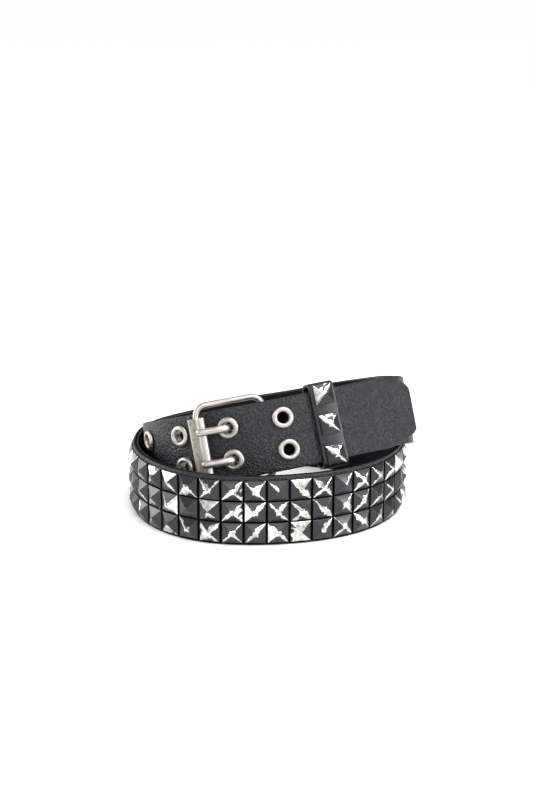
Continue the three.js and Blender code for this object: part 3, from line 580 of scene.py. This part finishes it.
def tip_cut(along):
    """How deep the strap is cut above and below: at the tip's corners and at the fold."""
    table = np.array(TIP_OUTLINE)
    share = (along - (route.length - TIP_CUT_LENGTH)) / TIP_CUT_LENGTH
    window = np.linspace(-0.035, 0.035, 7)
    depth = (STRAP_WIDTH - TIP_END_WIDTH) / 2
    upper = depth * np.mean([np.interp(share + w, table[:, 0], table[:, 1]) for w in window], 0)
    lower = depth * np.mean([np.interp(share + w, table[:, 0], table[:, 2]) for w in window], 0)
    trim = (STRAP_WIDTH - STRAIGHT_BAR) / 2 + FIT_GAP + FRAME_RISE
    trim = trim * (1 - smoothstep(along, 0, FOLD_TRIM_LENGTH))
    return np.maximum(upper, trim), np.maximum(lower, trim)


def strap_profile(high, low, half):
    """The strap's section as rows of up and outward: face, upper edge, back and lower edge."""
    r = min(EDGE_ROUND, 0.5 * half)
    g = GROOVE_HALF_WIDTH * half / HALF
    ups = np.linspace(low + r, high - r, FACE_COLUMNS)
    face = [(u, half) for u in ups]
    top = [(high - r + r * math.sin(a), half - r + r * math.cos(a)) for a in np.radians([30, 60, 90])]
    groove = [(high, g), (high - GROOVE_DEPTH, 0), (high, -g)]
    top_back = [(u, -o) for u, o in reversed(top)]
    back = [(u, -half) for u in ups[::-1]]
    middle = (high + low) / 2
    lower_back = [(2 * middle - u, -o) for u, o in top]
    lower_groove = [(2 * middle - u, -o) for u, o in groove]
    lower_face = [(2 * middle - u, o) for u, o in reversed(top)]
    return np.array(face + top + groove + top_back + back + lower_back + lower_groove + lower_face)


def eyelet_places():
    """Name, place along the route and height of each eyelet."""
    places = []
    for column in range(EYELET_COLUMNS):
        along = PRONG_AT + (PRONG_COLUMN - column) * EYELET_PITCH
        for row, up in (("upper", EYELET_ROW_PITCH / 2), ("lower", -EYELET_ROW_PITCH / 2)):
            places.append((f"eyelet_{column + 1}_{row}", along, up))
    return places


def fold_loops():
    """The tail on the inner side and half a turn round the heel bar, with an edge cut of its own."""
    heel = route.at(0)
    bar = heel.beside(0, -FOLD_RADIUS)[0]
    trim = float(tip_cut(np.zeros(1))[0][0])
    frames = []
    for along in np.linspace(FOLD_TAIL_LENGTH, 1.5, 16):
        close = float(smoothstep(along, 0, RIVET_FROM_HEEL - 0.75 * RIVET_HEAD))
        depth = 2 * FOLD_RADIUS + (STRAP_THICKNESS + FIT_GAP - 2 * FOLD_RADIUS) * close
        f = route.at(along)
        frames.append((f.beside(0, -depth)[0], f.up[0], -f.outward[0]))
    for turn in np.linspace(math.pi, 0, 18)[:-1]:
        outward = heel.outward[0] * math.cos(turn) - heel.tangent[0] * math.sin(turn)
        frames.append((bar + outward * FOLD_RADIUS, heel.up[0], outward))
    loops = []
    for i, (point, up, outward) in enumerate(frames):
        inset = end_inset(i * 1.5)
        profile = strap_profile(STRAP_WIDTH / 2 - trim - inset, -STRAP_WIDTH / 2 + trim + inset, HALF - inset)
        loops.append(point + profile[:, :1] * up + profile[:, 1:] * outward)
    return loops


def end_inset(distance):
    """How far the strap's rounded end is drawn in at a distance from the end."""
    r = EDGE_ROUND
    return 0.0 if distance >= r else r - math.sqrt(max(0.0, r * r - (r - distance) ** 2))


def make_strap():
    end_steps = [1.5, 0.75, 0.4, 0.15, 0.0]
    along = list(np.linspace(0, route.length - 2.5, int(route.length / SECTION_STEP)))
    along = np.array(along + [route.length - s for s in end_steps])
    frames = route.at(along)
    upper, lower = tip_cut(along)
    eyelets = eyelet_places()
    loops = fold_loops()
    for i, place in enumerate(along):
        inset = end_inset(route.length - place)
        profile = strap_profile(
            STRAP_WIDTH / 2 - upper[i] - inset, -STRAP_WIDTH / 2 + lower[i] + inset, HALF - inset
        )
        for _, centre, up in eyelets:
            if abs(place - centre) < DISH_REACH:
                away = np.hypot(profile[:, 0] - up, place - centre)
                outer = profile[:, 1] > HALF * 0.98
                off = (away[outer] - DISH_RADIUS) / DISH_WIDTH
                profile[outer, 1] -= DISH_DEPTH * np.exp(-(off ** 2))
        loops.append(frames.point[i] + profile[:, :1] * frames.up[i] + profile[:, 1:] * frames.outward[i])
    loops = np.array(loops)
    loops[:, :, 2] = np.maximum(loops[:, :, 2], 0)
    points, faces = loft(loops, False)
    strap = add_mesh("belt_strap", points, faces)
    size = loops.shape[1]
    kinds = np.full(size, EDGE_KIND)
    kinds[:FACE_COLUMNS] = FACE_KIND
    # The groove along each edge is painted near black as shade.
    kinds[FACE_COLUMNS + 3:FACE_COLUMNS + 5] = PAINTED_SHADE_KIND
    back_start = FACE_COLUMNS + 9
    kinds[back_start:back_start + FACE_COLUMNS - 1] = BACK_KIND
    count = len(strap.data.polygons)
    index = np.full(count, EDGE_KIND)
    rows = np.tile(kinds, ((count - 2) // size, 1))
    # Painted shade: the face of the buckle end under the tip and the face under the studs get the near-black
    # leather.
    first = len(loops) - len(along)
    shaded_rows_end = first + int(np.sum(along < PAINTED_SHADE_LENGTH))
    rows[first:shaded_rows_end, PAINTED_SHADE_MARGIN:FACE_COLUMNS - PAINTED_SHADE_MARGIN] = PAINTED_SHADE_KIND
    field_end = STUDS_FROM_HEEL + STUD_COLUMNS * STUD_PITCH
    studded = first + np.flatnonzero((along > STUDS_FROM_HEEL) & (along < field_end))
    rows[studded, :FACE_COLUMNS - 2] = PAINTED_SHADE_KIND
    index[:count - 2] = rows.ravel()
    paint(strap, index, LEATHER, EDGE, BACK, SHADE_LEATHER)
    cut_holes(strap)
    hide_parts("strap")
    dress(strap, slot="leather")


def cutter(name, frames, up, radius, low, high, sides=32):
    """A round bar through the strap at a place of the route."""
    turn = 2 * np.pi * np.arange(sides) / sides
    ring = frames.up * np.cos(turn)[:, None] * radius + frames.tangent * np.sin(turn)[:, None] * radius
    loops = [frames.beside(up, o) + ring for o in (low, high)]
    return add_mesh(name, *loft(loops, False))


def cut_holes(strap):
    """Holes for the eyelets and rivets, and slots in the fold for the prongs."""
    cutters = []
    barrel = EYELET_HOLE / 2 + EYELET_WALL + FIT_GAP
    for name, along, up in eyelet_places():
        cutters.append(cutter("cut_" + name, route.at(along), up, barrel, -HALF - 0.4, HALF + 1))
    for sign in (1, -1):
        frames = route.at(RIVET_FROM_HEEL)
        shank = RIVET_SHANK / 2 + 0.1
        up = sign * RIVET_SPACING / 2
        cutters.append(cutter(f"cut_rivet_{sign + 1}", frames, up, shank, -9, HALF - 0.3))
        heel = route.at(0)
        low, high = -2 * FOLD_RADIUS - STRAP_THICKNESS, HALF + 0.1
        wide = PRONG_WIDTH / 2 + 2 * FIT_GAP
        long = WIRE_RADIUS + PRONG_LOOP_THICKNESS + 3 * FIT_GAP + STRAP_THICKNESS / 2
        ring = [(-wide, -long), (wide, -long), (wide, long), (-wide, long)]
        up = sign * EYELET_ROW_PITCH / 2
        loops = [[heel.beside(up + a, o, b)[0] for a, b in ring] for o in (low, high)]
        cutters.append(add_mesh(f"cut_slot_{sign + 1}", *loft(loops, False)))
    for shape in cutters:
        paint(shape, [EDGE_KIND] * len(shape.data.polygons), LEATHER, EDGE)
        modifier = strap.modifiers.new("hole", "BOOLEAN")
        modifier.operation = "DIFFERENCE"
        modifier.solver = "EXACT"
        modifier.object = shape
        apply_modifiers(strap)
    for shape in cutters:
        bpy.data.objects.remove(shape)
    strap.data.set_sharp_from_angle(angle=math.radians(35))


# Studs

# A pyramid's rings from the top: half width as a share of the side's half, and share of the rise
STUD_RINGS = [
    (0.0, 1.0), (0.05, 0.985), (0.13, 0.925), (0.5, 0.555), (0.93, 0.125), (0.975, 0.06),
    (1.0, 0.0),
]


def stud_mesh_parts(side, base, height):
    """One pyramid with rounded ridges: points (across, up, out), shares across it and faces."""
    shoulder = base + STUD_SKIRT
    rise = height - shoulder
    rings = [(r, shoulder + rise * h) for r, h in STUD_RINGS] + [(1.0, shoulder - 0.15), (1.0, base)]
    points, shares = [], []
    for r, out in rings:
        soft = min(0.035, 0.3 * r)
        pull = 0.012 if r > 0.05 else 0.0
        spots = [-1 + soft, -1 + 2.4 * soft / max(r, 0.1), 0.0, 1 - 2.4 * soft / max(r, 0.1), 1 - soft]
        spots = [max(-1, min(1, s)) for s in spots]
        for quarter in range(4):
            corner = (r - pull, -(r - pull))
            line = [corner] + [(r, r * s) for s in spots]
            for a, b in line:
                for _ in range(quarter):
                    a, b = -b, a
                points.append((a * side / 2, b * side / 2, out))
                shares.append((a, b))
    size = 24
    faces = []
    for i in range(len(rings) - 1):
        for j in range(size):
            k = (j + 1) % size
            faces.append((i * size + j, i * size + k, (i + 1) * size + k, (i + 1) * size + j))
    return np.array(points), np.array(shares), faces


def scrape_code(word):
    """Widths of the four ridges and shares of the four facets that a word of the chart gives."""
    ridges = {"a": 0.0, "b": 0.0, "c": 0.0, "d": 0.0}
    facets = {"n": 0.0, "e": 0.0, "s": 0.0, "w": 0.0}
    for letter in word:
        low = letter.lower()
        if low in ridges:
            ridges[low] = WIDE_RIDGE if letter.isupper() else THIN_RIDGE
        elif low in facets:
            facets[low] = WHOLE_FACET if letter.isupper() else PART_FACET
    return ridges, facets


def random_word():
    letters = random_source.sample("abcd", random_source.choice([1, 2, 2, 3]))
    letters += random_source.sample("nesw", random_source.choice([0, 1, 1, 2]))
    return "".join(x.upper() if random_source.random() < 0.3 else x for x in letters)


def make_studs(name, places, side, base, height):
    """Many studs as one mesh. Each place is its middle, three directions and a chart word."""
    points, shares, faces = stud_mesh_parts(side, base, height)
    count = len(points)
    all_points, all_faces, all_uv, all_marks = [], [], [], []
    for number, (middle, across, up, normal, word) in enumerate(places):
        ridges, facets = scrape_code(word)
        apex = 1.0 if sum(ridges.values()) > 0.4 else 0.0
        all_points.append(middle + points @ np.array([across, up, normal]))
        for face in faces:
            spots = shares[list(face)]
            a, b = spots.mean(0)
            ridge = ("b" if b > 0 else "c") if a > 0 else ("a" if b > 0 else "d")
            facet = ("e" if a > 0 else "w") if abs(a) > abs(b) else ("n" if b > 0 else "s")
            all_faces.append([i + number * count for i in face])
            for s in spots:
                all_uv.append((s[0] / 2 + 0.5, s[1] / 2 + 0.5))
                all_marks.append((ridges[ridge], facets[facet], apex, 1))
    mesh = bpy.data.meshes.new(name)
    placed = (np.concatenate(all_points) + COIL_SHIFT) * METRE
    mesh.from_pydata(placed.tolist(), [], all_faces)
    mesh.uv_layers.new(name="stud").data.foreach_set("uv", np.array(all_uv, np.float32).ravel())
    marks = mesh.color_attributes.new("scrape", "FLOAT_COLOR", "CORNER")
    marks.data.foreach_set("color", np.array(all_marks, np.float32).ravel())
    obj = bpy.data.objects.new(name, mesh)
    bpy.context.scene.collection.objects.link(obj)
    face_outward(mesh)
    mesh.shade_smooth()
    mesh.set_sharp_from_angle(angle=math.radians(50))
    return dress(obj, STUD, slot="stud_metal")


def make_stud_field():
    low_edge = -STRAP_WIDTH / 2 + STUD_LOW_MARGIN + (STUD_ROW_PITCH - STUD_SIDE) / 2
    chart = [row.split() for row in SCRAPE_CHART]
    places = []
    for column in range(STUD_COLUMNS):
        middle = STUDS_FROM_HEEL + (column + 0.5) * STUD_PITCH
        ends = route.at([middle - STUD_SIDE / 2, middle + STUD_SIDE / 2])
        for row in range(STUD_ROWS):
            low = low_edge + row * STUD_ROW_PITCH
            corners = [ends.beside(up, HALF + FIT_GAP + STUD_SHEET) for up in (low, low + STUD_SIDE)]
            centre = (corners[0].mean(0) + corners[1].mean(0)) / 2
            across = unit(corners[0][1] - corners[0][0] + corners[1][1] - corners[1][0])
            up = unit(corners[1].sum(0) - corners[0].sum(0))
            normal = unit(np.cross(across, up))
            up = np.cross(normal, across)
            spot = column - CHART_START
            listed = chart[STUD_ROWS - 1 - row]
            word = listed[spot] if 0 <= spot < len(listed) else random_word()
            centre = centre + normal * random_source.uniform(-0.08, 0.02)
            places.append((centre, across, up, normal, word))
    field = make_studs("belt_studs", places, STUD_SIDE, -0.45, STUD_HEIGHT)
    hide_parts("stud_field")


# Eyelets and rivets


def lathe(name, frames, up, profile, sides, closed):
    """A ring or plug turned about the strap's outward direction."""
    profile = np.array(profile)
    loops = []
    for turn in 2 * np.pi * np.arange(sides) / sides:
        direction = frames.up[0] * math.cos(turn) + frames.tangent[0] * math.sin(turn)
        centre = frames.beside(up, profile[:, 1])
        loops.append(centre + direction * profile[:, :1])
    if closed:
        return add_mesh(name, *loft(loops, True), smooth_angle=55)
    loops = np.array(loops).transpose(1, 0, 2)
    return add_mesh(name, *loft(loops, False), smooth_angle=40)


def make_eyelets():
    bore = EYELET_HOLE / 2
    outer = EYELET_OUTER / 2
    seat = HALF + 0.02
    top = HALF + 0.4 + EYELET_DOME
    back = -HALF - LAYER_GAP / 4
    middle = (outer + bore - 0.15) / 2
    dome = []
    for turn in np.radians(np.linspace(0, 180, 13)):
        reach = outer - middle if turn < math.pi / 2 else middle - bore
        dome.append((middle + reach * math.cos(turn), HALF + 0.25 + (top - HALF - 0.25) * math.sin(turn)))
    rim = EYELET_BACK_OUTER / 2
    wall = bore + EYELET_WALL
    profile = [(bore, back - 0.02), (bore + 0.5, back - 0.1), (rim - 0.4, back), (rim, back + 0.2)]
    profile += [(rim - 0.2, back + 0.35), (wall, back + 0.45), (wall, seat)]
    profile += [(outer - 0.25, seat)] + dome
    for name, along, up in eyelet_places():
        ring = lathe("ring_" + name, route.at(along), up, profile, 48, True)
        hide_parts(name)
        dress(ring, NICKEL, slot="nickel")


def make_rivets():
    seat = -HALF - STRAP_THICKNESS - 2 * FIT_GAP
    half = RIVET_HEAD / 2
    profile = [(0.05, HALF - 0.35), (RIVET_SHANK / 2 - 0.1, HALF - 0.4), (RIVET_SHANK / 2 - 0.1, seat)]
    profile += [(half - 0.15, seat + 0.02), (half, seat - 0.25), (half - 0.15, seat - 0.6)]
    profile += [(half * 0.7, seat - 0.95), (half * 0.35, seat - 1.07), (0.05, seat - RIVET_HEAD_HEIGHT)]
    for name, up in (("rivet_upper", RIVET_SPACING / 2), ("rivet_lower", -RIVET_SPACING / 2)):
        rivet = lathe("head_" + name, route.at(RIVET_FROM_HEEL), up, profile, 36, False)
        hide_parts(name)
        dress(rivet, NICKEL, slot="nickel")


# Buckle


class Buckle:
    """The frame's own directions: along it from the tip bar to the heel bar, up it, and outward."""

    def __init__(self):
        rest = HALF + FIT_GAP + SLEEVE_THICKNESS / 2
        self.tip_bar = route.at(PRONG_AT - PRONG_TO_TIP_BAR).beside(FRAME_RISE, rest)[0]
        self.heel_bar = route.at(0).beside(FRAME_RISE, -FOLD_RADIUS)[0]
        along = self.heel_bar - self.tip_bar
        self.length = np.linalg.norm(along)
        self.along = along / self.length
        up = route.at(0).up[0]
        self.up = unit(up - up @ self.along * self.along)
        self.outward = np.cross(self.along, self.up)


buckle = Buckle()


def make_frame():
    half_height = FRAME_INNER_HEIGHT / 2 + WIRE_RADIUS
    r = FRAME_CORNER_RADIUS
    corners = [
        (buckle.length - r, half_height - r, 0), (r, half_height - r, 90),
        (r, r - half_height, 180), (buckle.length - r, r - half_height, 270),
    ]
    points, across = [], []
    for x, y, start in corners:
        for turn in np.radians(start + np.linspace(0, 90, 14)):
            side = buckle.along * math.cos(turn) + buckle.up * math.sin(turn)
            points.append(buckle.tip_bar + buckle.along * x + buckle.up * y + side * r)
            across.append(side)
    thick = np.tile(buckle.outward, (len(points), 1))
    wire = tube("buckle_wire", np.array(points), np.array(across), thick, WIRE_RADIUS, WIRE_RADIUS, 24, True)
    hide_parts("buckle_frame")
    dress(wire, NICKEL, slot="nickel")


def sleeve_outline():
    """The sleeve's outer line, across it and outward: a round rod beside a flat folded plate."""
    half = SLEEVE_THICKNESS / 2
    right = SLEEVE_WIDTH / 2 - half
    left = -SLEEVE_WIDTH / 2
    plate = half - 0.35
    rod = np.radians(np.linspace(-52, 232, 30))
    line = [(right + half * math.sin(a), half * math.cos(a)) for a in rod]
    seam = line[0][0] - 0.35
    line_back = [(seam - 0.3, -plate), (left + 1.0, -plate)]
    r = 0.9
    bend = np.radians(np.linspace(0, 90, 6))
    left_round = [(left + r - r * math.sin(a), -(plate - r) - r * math.cos(a)) for a in bend]
    left_rise = [(left + r - r * math.cos(a), (plate - r) + r * math.sin(a)) for a in bend]
    rim = [(left + 1.25, plate), (left + 1.5, plate - 0.14), (seam - 0.35, plate - 0.14)]
    groove = [(seam, plate - 0.55)]
    return np.array(line + line_back + left_round + left_rise + rim + groove)


def make_sleeve():
    outline = sleeve_outline()
    tangent = route.at(PRONG_AT - PRONG_TO_TIP_BAR).tangent[0]
    way = unit(tangent - tangent @ buckle.up * buckle.up)
    outward = np.cross(way, buckle.up)
    half = STRAIGHT_BAR / 2
    places = [(-half, 0.82), (-half + 0.12, 0.93), (-half + 0.4, 1.0)]
    places += [(x, 1.0) for x in np.linspace(-half + 2, half - 2, 16)]
    places += [(half - 0.4, 1.0), (half - 0.12, 0.93), (half, 0.82)]
    middle = outline.mean(0)
    loops = []
    for height, share in places:
        wobble = 0.06 * math.sin(height * 0.9) + 0.04 * math.sin(height * 2.3 + 1)
        line = middle + (outline - middle) * share
        groove = np.abs(line[:, 0] - outline[-1, 0]) < 0.5
        line = line + np.outer(groove * wobble * 3, [1, 0])
        loops.append(buckle.tip_bar + buckle.up * height + line[:, :1] * way + line[:, 1:] * outward)
    sleeve = add_mesh("buckle_sleeve_sheet", *loft(loops, False), smooth_angle=38)
    count, size = len(sleeve.data.polygons), len(outline)
    index = np.ones(count, np.int32)
    across = outline[:, 0]
    plate = (across < outline[-1, 0] - 0.2) & (across > -SLEEVE_WIDTH / 2 + 1.1)
    index[:count - 2] = np.tile(plate, (count - 2) // size)
    paint(sleeve, index, NICKEL, DULL_NICKEL)
    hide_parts("buckle_sleeve")
    dress(sleeve, slot="nickel")


def make_prong(name, up):
    loop_half = PRONG_LOOP_THICKNESS / 2
    half = PRONG_THICKNESS / 2
    loop_radius = WIRE_RADIUS + FIT_GAP + loop_half
    under = (FRAME_LENGTH - PRONG_TO_TIP_BAR, -LAYER_STEP - FOLD_RADIUS + loop_radius, loop_half)
    over = (-PRONG_TO_TIP_BAR, HALF + 2 * FIT_GAP + SLEEVE_THICKNESS + half, half)
    heel = route.at(HEEL_OVERLAP_AT)
    rows = []
    for turn in np.radians(205 + 245 * np.arange(9) / 9):
        side = heel.tangent[0] * math.cos(turn) + heel.outward[0] * math.sin(turn)
        point = buckle.heel_bar + heel.up[0] * up + side * loop_radius
        rows.append((point, loop_half, PRONG_WIDTH / 2, heel.up[0]))
    for side, share, height, thick, wide in PRONG_PATH:
        reach, rest, thickness = under if side == "under" else over
        frames = route.at(PRONG_AT + share * reach)
        point = frames.beside(up, height * rest)[0]
        rows.append((point, thick * thickness, wide * PRONG_WIDTH / 2, frames.up[0]))
    steps = [np.linalg.norm(b[0] - a[0]) for a, b in zip(rows, rows[1:])]
    knots = np.concatenate([[0], np.cumsum(steps)])
    path = natural_spline(knots, np.array([r[0] for r in rows]))
    near_end = knots[-1] - np.array([0.6, 0.3, 0.1])
    places = np.unique(np.concatenate([np.linspace(0, knots[-1], 90), near_end]))
    points = path(places)
    way = unit(path(places + 0.01) - path(places - 0.01))
    ups = np.array([np.interp(places, knots, [r[3][i] for r in rows]) for i in range(3)]).T
    across = unit(ups - (ups * way).sum(1, keepdims=True) * way)
    thick = np.cross(way, across)
    half_thick = np.interp(places, knots, [r[1] for r in rows])
    half_across = np.interp(places, knots, [r[2] for r in rows])
    obj = tube("rod_" + name, points, across, thick, half_across, half_thick, 20, False)
    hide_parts(name)
    dress(obj, NICKEL, slot="nickel")


# Keeper


def ring_line(grow, corner, high, low, outer, inner, steps):
    """A rounded rectangle round both layers, as rows of up and outward, with its outward sides."""
    inset = grow - corner
    centres = [
        (high + inset, outer + inset, 0), (low - inset, outer + inset, 90),
        (low - inset, inner - inset, 180), (high + inset, inner - inset, 270),
    ]
    line = []
    for up, outward, start in centres:
        for turn in np.radians(start + np.linspace(0, 90, steps)):
            cos, sin = math.cos(turn), math.sin(turn)
            line.append((up + corner * cos, outward + corner * sin, cos, sin))
    dense = []
    for a, b in zip(line, line[1:] + line[:1]):
        gap = math.hypot(b[0] - a[0], b[1] - a[1])
        count = max(1, round(gap / 2.5))
        for i in range(count):
            t = i / count
            dense.append([x + (y - x) * t for x, y in zip(a, b)])
    return np.array(dense)


def make_keeper():
    middle = HEEL_OVERLAP_AT + KEEPER_FROM_HEEL
    high = STRAP_WIDTH / 2 + KEEPER_TOP_CLEARANCE
    low = -STRAP_WIDTH / 2 - KEEPER_LOW_CLEARANCE
    outer = HALF + KEEPER_CLEARANCE
    inner = -LAYER_STEP - HALF - KEEPER_CLEARANCE
    half = KEEPER_THICKNESS / 2
    line = ring_line(half, KEEPER_CORNER - half, high, low, outer, inner, 8)
    r = 0.6
    flat = KEEPER_WIDTH / 2 - r
    section = []
    for side in (1, -1):
        for x in np.linspace(-flat, flat, 7) * side:
            section.append((x, half * side, 0 if side > 0 else 1))
        for turn in np.radians([22.5, 45, 67.5, 90]):
            x, off = flat + r * math.sin(turn), half - r + r * math.cos(turn)
            section.append((side * x, side * off, 1))
        section.append((side * KEEPER_WIDTH / 2, -side * (half - r), 1))
        for turn in np.radians([67.5, 45, 22.5]):
            x, off = flat + r * math.sin(turn), half - r + r * math.cos(turn)
            section.append((side * x, -side * off, 1))
    places = sorted({round(x, 4) for x, _, _ in section})
    frames = route.at(middle + np.array(places))
    loops = []
    for up, outward, n_up, n_outward in line:
        loop = []
        for x, off, _ in section:
            i = places.index(round(x, 4))
            bulge = 0.25 * math.cos(math.pi * x / KEEPER_WIDTH) * (1 if off > 0 else 0.6) - 0.2
            reach = off + bulge * max(0.0, n_outward)
            raised = frames.point[i] + frames.up[i] * (up + n_up * reach)
            loop.append(raised + frames.outward[i] * (outward + n_outward * reach))
        loops.append(loop)
    keeper = add_mesh("keeper_loop", *loft(loops, True))
    kinds = [kind for _, _, kind in section]
    paint(keeper, np.tile(kinds, len(line)), KEEPER_LEATHER, EDGE)
    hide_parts("keeper")
    dress(keeper, slot="leather")
    frames = route.at(middle)
    rows = (("upper", 1), ("middle", 0), ("lower", -1))
    for (row, share), word in zip(rows, KEEPER_CHART):
        up = share * KEEPER_STUD_PITCH + KEEPER_RISE
        spot = frames.beside(up, outer + KEEPER_THICKNESS + FIT_GAP)[0]
        place = (spot, frames.tangent[0], frames.up[0], frames.outward[0], word)
        stud = make_studs("pyramid_keeper_" + row, [place], KEEPER_STUD_SIDE, -0.35, STUD_HEIGHT)
        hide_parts("keeper_stud_" + row)
    make_claws(frames, outer + KEEPER_THICKNESS)


def make_claws(frames, face):
    """The studs' bent claws, which show as small dark ridges beside the studs."""
    spots = [(KEEPER_STUD_PITCH - 6.1, -0.6), (6.2, 0.2), (-KEEPER_STUD_PITCH + 6.2, 0.4)]
    for number, (up, along) in enumerate(spots):
        loops = []
        for x in np.linspace(-1.5, 1.5, 9):
            lift = 0.28 * math.sqrt(max(0.0, 1 - (x / 1.5) ** 2))
            turn = 2 * np.pi * np.arange(8) / 8
            height = up + KEEPER_RISE + 0.34 * np.cos(turn)
            loops.append(frames.beside(height, face - 0.02 + (lift + 0.03) * np.sin(turn), along + x))
        dress(add_mesh(f"keeper_claw_{number + 1}", *loft(loops, False)), EDGE, slot="leather")


make_strap()
make_stud_field()
make_eyelets()
make_rivets()
make_frame()
make_sleeve()
make_prong("prong_upper", EYELET_ROW_PITCH / 2)
make_prong("prong_lower", -EYELET_ROW_PITCH / 2)
make_keeper()


# Camera, floor and light


# The camera, in millimetres on film, metres and degrees, as a fit to the photo gave it
FOCAL_LENGTH = 71.0
FILM_HEIGHT = 36
CAMERA_PLACE = (-0.00266, -0.84270, 0.30969)
CAMERA_TILT = 16.6


def make_camera():
    camera = bpy.data.objects.new("camera", bpy.data.cameras.new("camera"))
    camera.data.lens = FOCAL_LENGTH
    camera.data.sensor_width = FILM_HEIGHT
    camera.location = CAMERA_PLACE
    camera.rotation_euler = (math.radians(90 - CAMERA_TILT), 0, 0)
    camera.data.clip_start = 0.01
    camera.data.clip_end = 100
    bpy.context.scene.collection.objects.link(camera)
    bpy.context.scene.camera = camera


def make_floor():
    mesh = bpy.data.meshes.new("floor")
    size = 20
    corners = [(-size, -size, 0), (size, -size, 0), (size, size, 0), (-size, size, 0)]
    mesh.from_pydata(corners, [], [(0, 1, 2, 3)])
    floor = bpy.data.objects.new("floor", mesh)
    bpy.context.scene.collection.objects.link(floor)
    n = Nodes("floor_white", Roughness=0.9)
    tone = n.mix(n.noise(3.0, 2.0), (0.93, 0.93, 0.93, 1), (0.95, 0.95, 0.95, 1))
    mesh.materials.append(n.set(Base_Color=tone))


def add_light(name, place, target, size, power):
    light = bpy.data.lights.new(name, "AREA")
    light.shape = "RECTANGLE"
    light.size, light.size_y = size
    light.energy = power
    obj = bpy.data.objects.new(name, light)
    obj.location = place
    obj.rotation_euler = (Vector(target) - Vector(place)).to_track_quat("-Z", "Y").to_euler()
    bpy.context.scene.collection.objects.link(obj)


def make_light():
    """A soft sky that is bright overhead and dim at the horizon, a soft sun, and soft boxes."""
    world = bpy.data.worlds.new("studio")
    world.use_nodes = True
    nodes, links = world.node_tree.nodes, world.node_tree.links
    direction = nodes.new("ShaderNodeTexCoord")
    parts = nodes.new("ShaderNodeSeparateXYZ")
    fall = nodes.new("ShaderNodeMapRange")
    for key, value in (("From Min", 0.0), ("From Max", 0.9), ("To Min", 0.18), ("To Max", 0.65)):
        fall.inputs[key].default_value = value
    links.new(direction.outputs["Generated"], parts.inputs[0])
    links.new(parts.outputs["Z"], fall.inputs["Value"])
    links.new(fall.outputs["Result"], nodes["Background"].inputs["Strength"])
    nodes["Background"].inputs["Color"].default_value = (1, 1, 1, 1)
    bpy.context.scene.world = world
    sun = bpy.data.lights.new("soft_sun", "SUN")
    sun.energy = 1.95
    sun.angle = math.radians(50)
    obj = bpy.data.objects.new("soft_sun", sun)
    obj.rotation_euler = Vector((-0.34, 0.24, -0.91)).to_track_quat("-Z", "Y").to_euler()
    bpy.context.scene.collection.objects.link(obj)
    add_light("front_box", (-0.1, -1.25, 0.8), (0, 0, 0.04), (1.2, 0.45), 9)
    add_light("left_box", (-1.1, 0.25, 0.36), (0, 0, 0.04), (0.8, 0.6), 12)
    add_light("high_box", (0.8, -0.12, 1.27), (0, 0, 0.04), (0.45, 0.45), 4)
    add_light("right_box", (1.05, -0.5, 0.4), (0, 0, 0.04), (0.35, 0.35), 9)


make_camera()
make_floor()
make_light()
bpy.context.scene.view_settings.view_transform = "Standard"
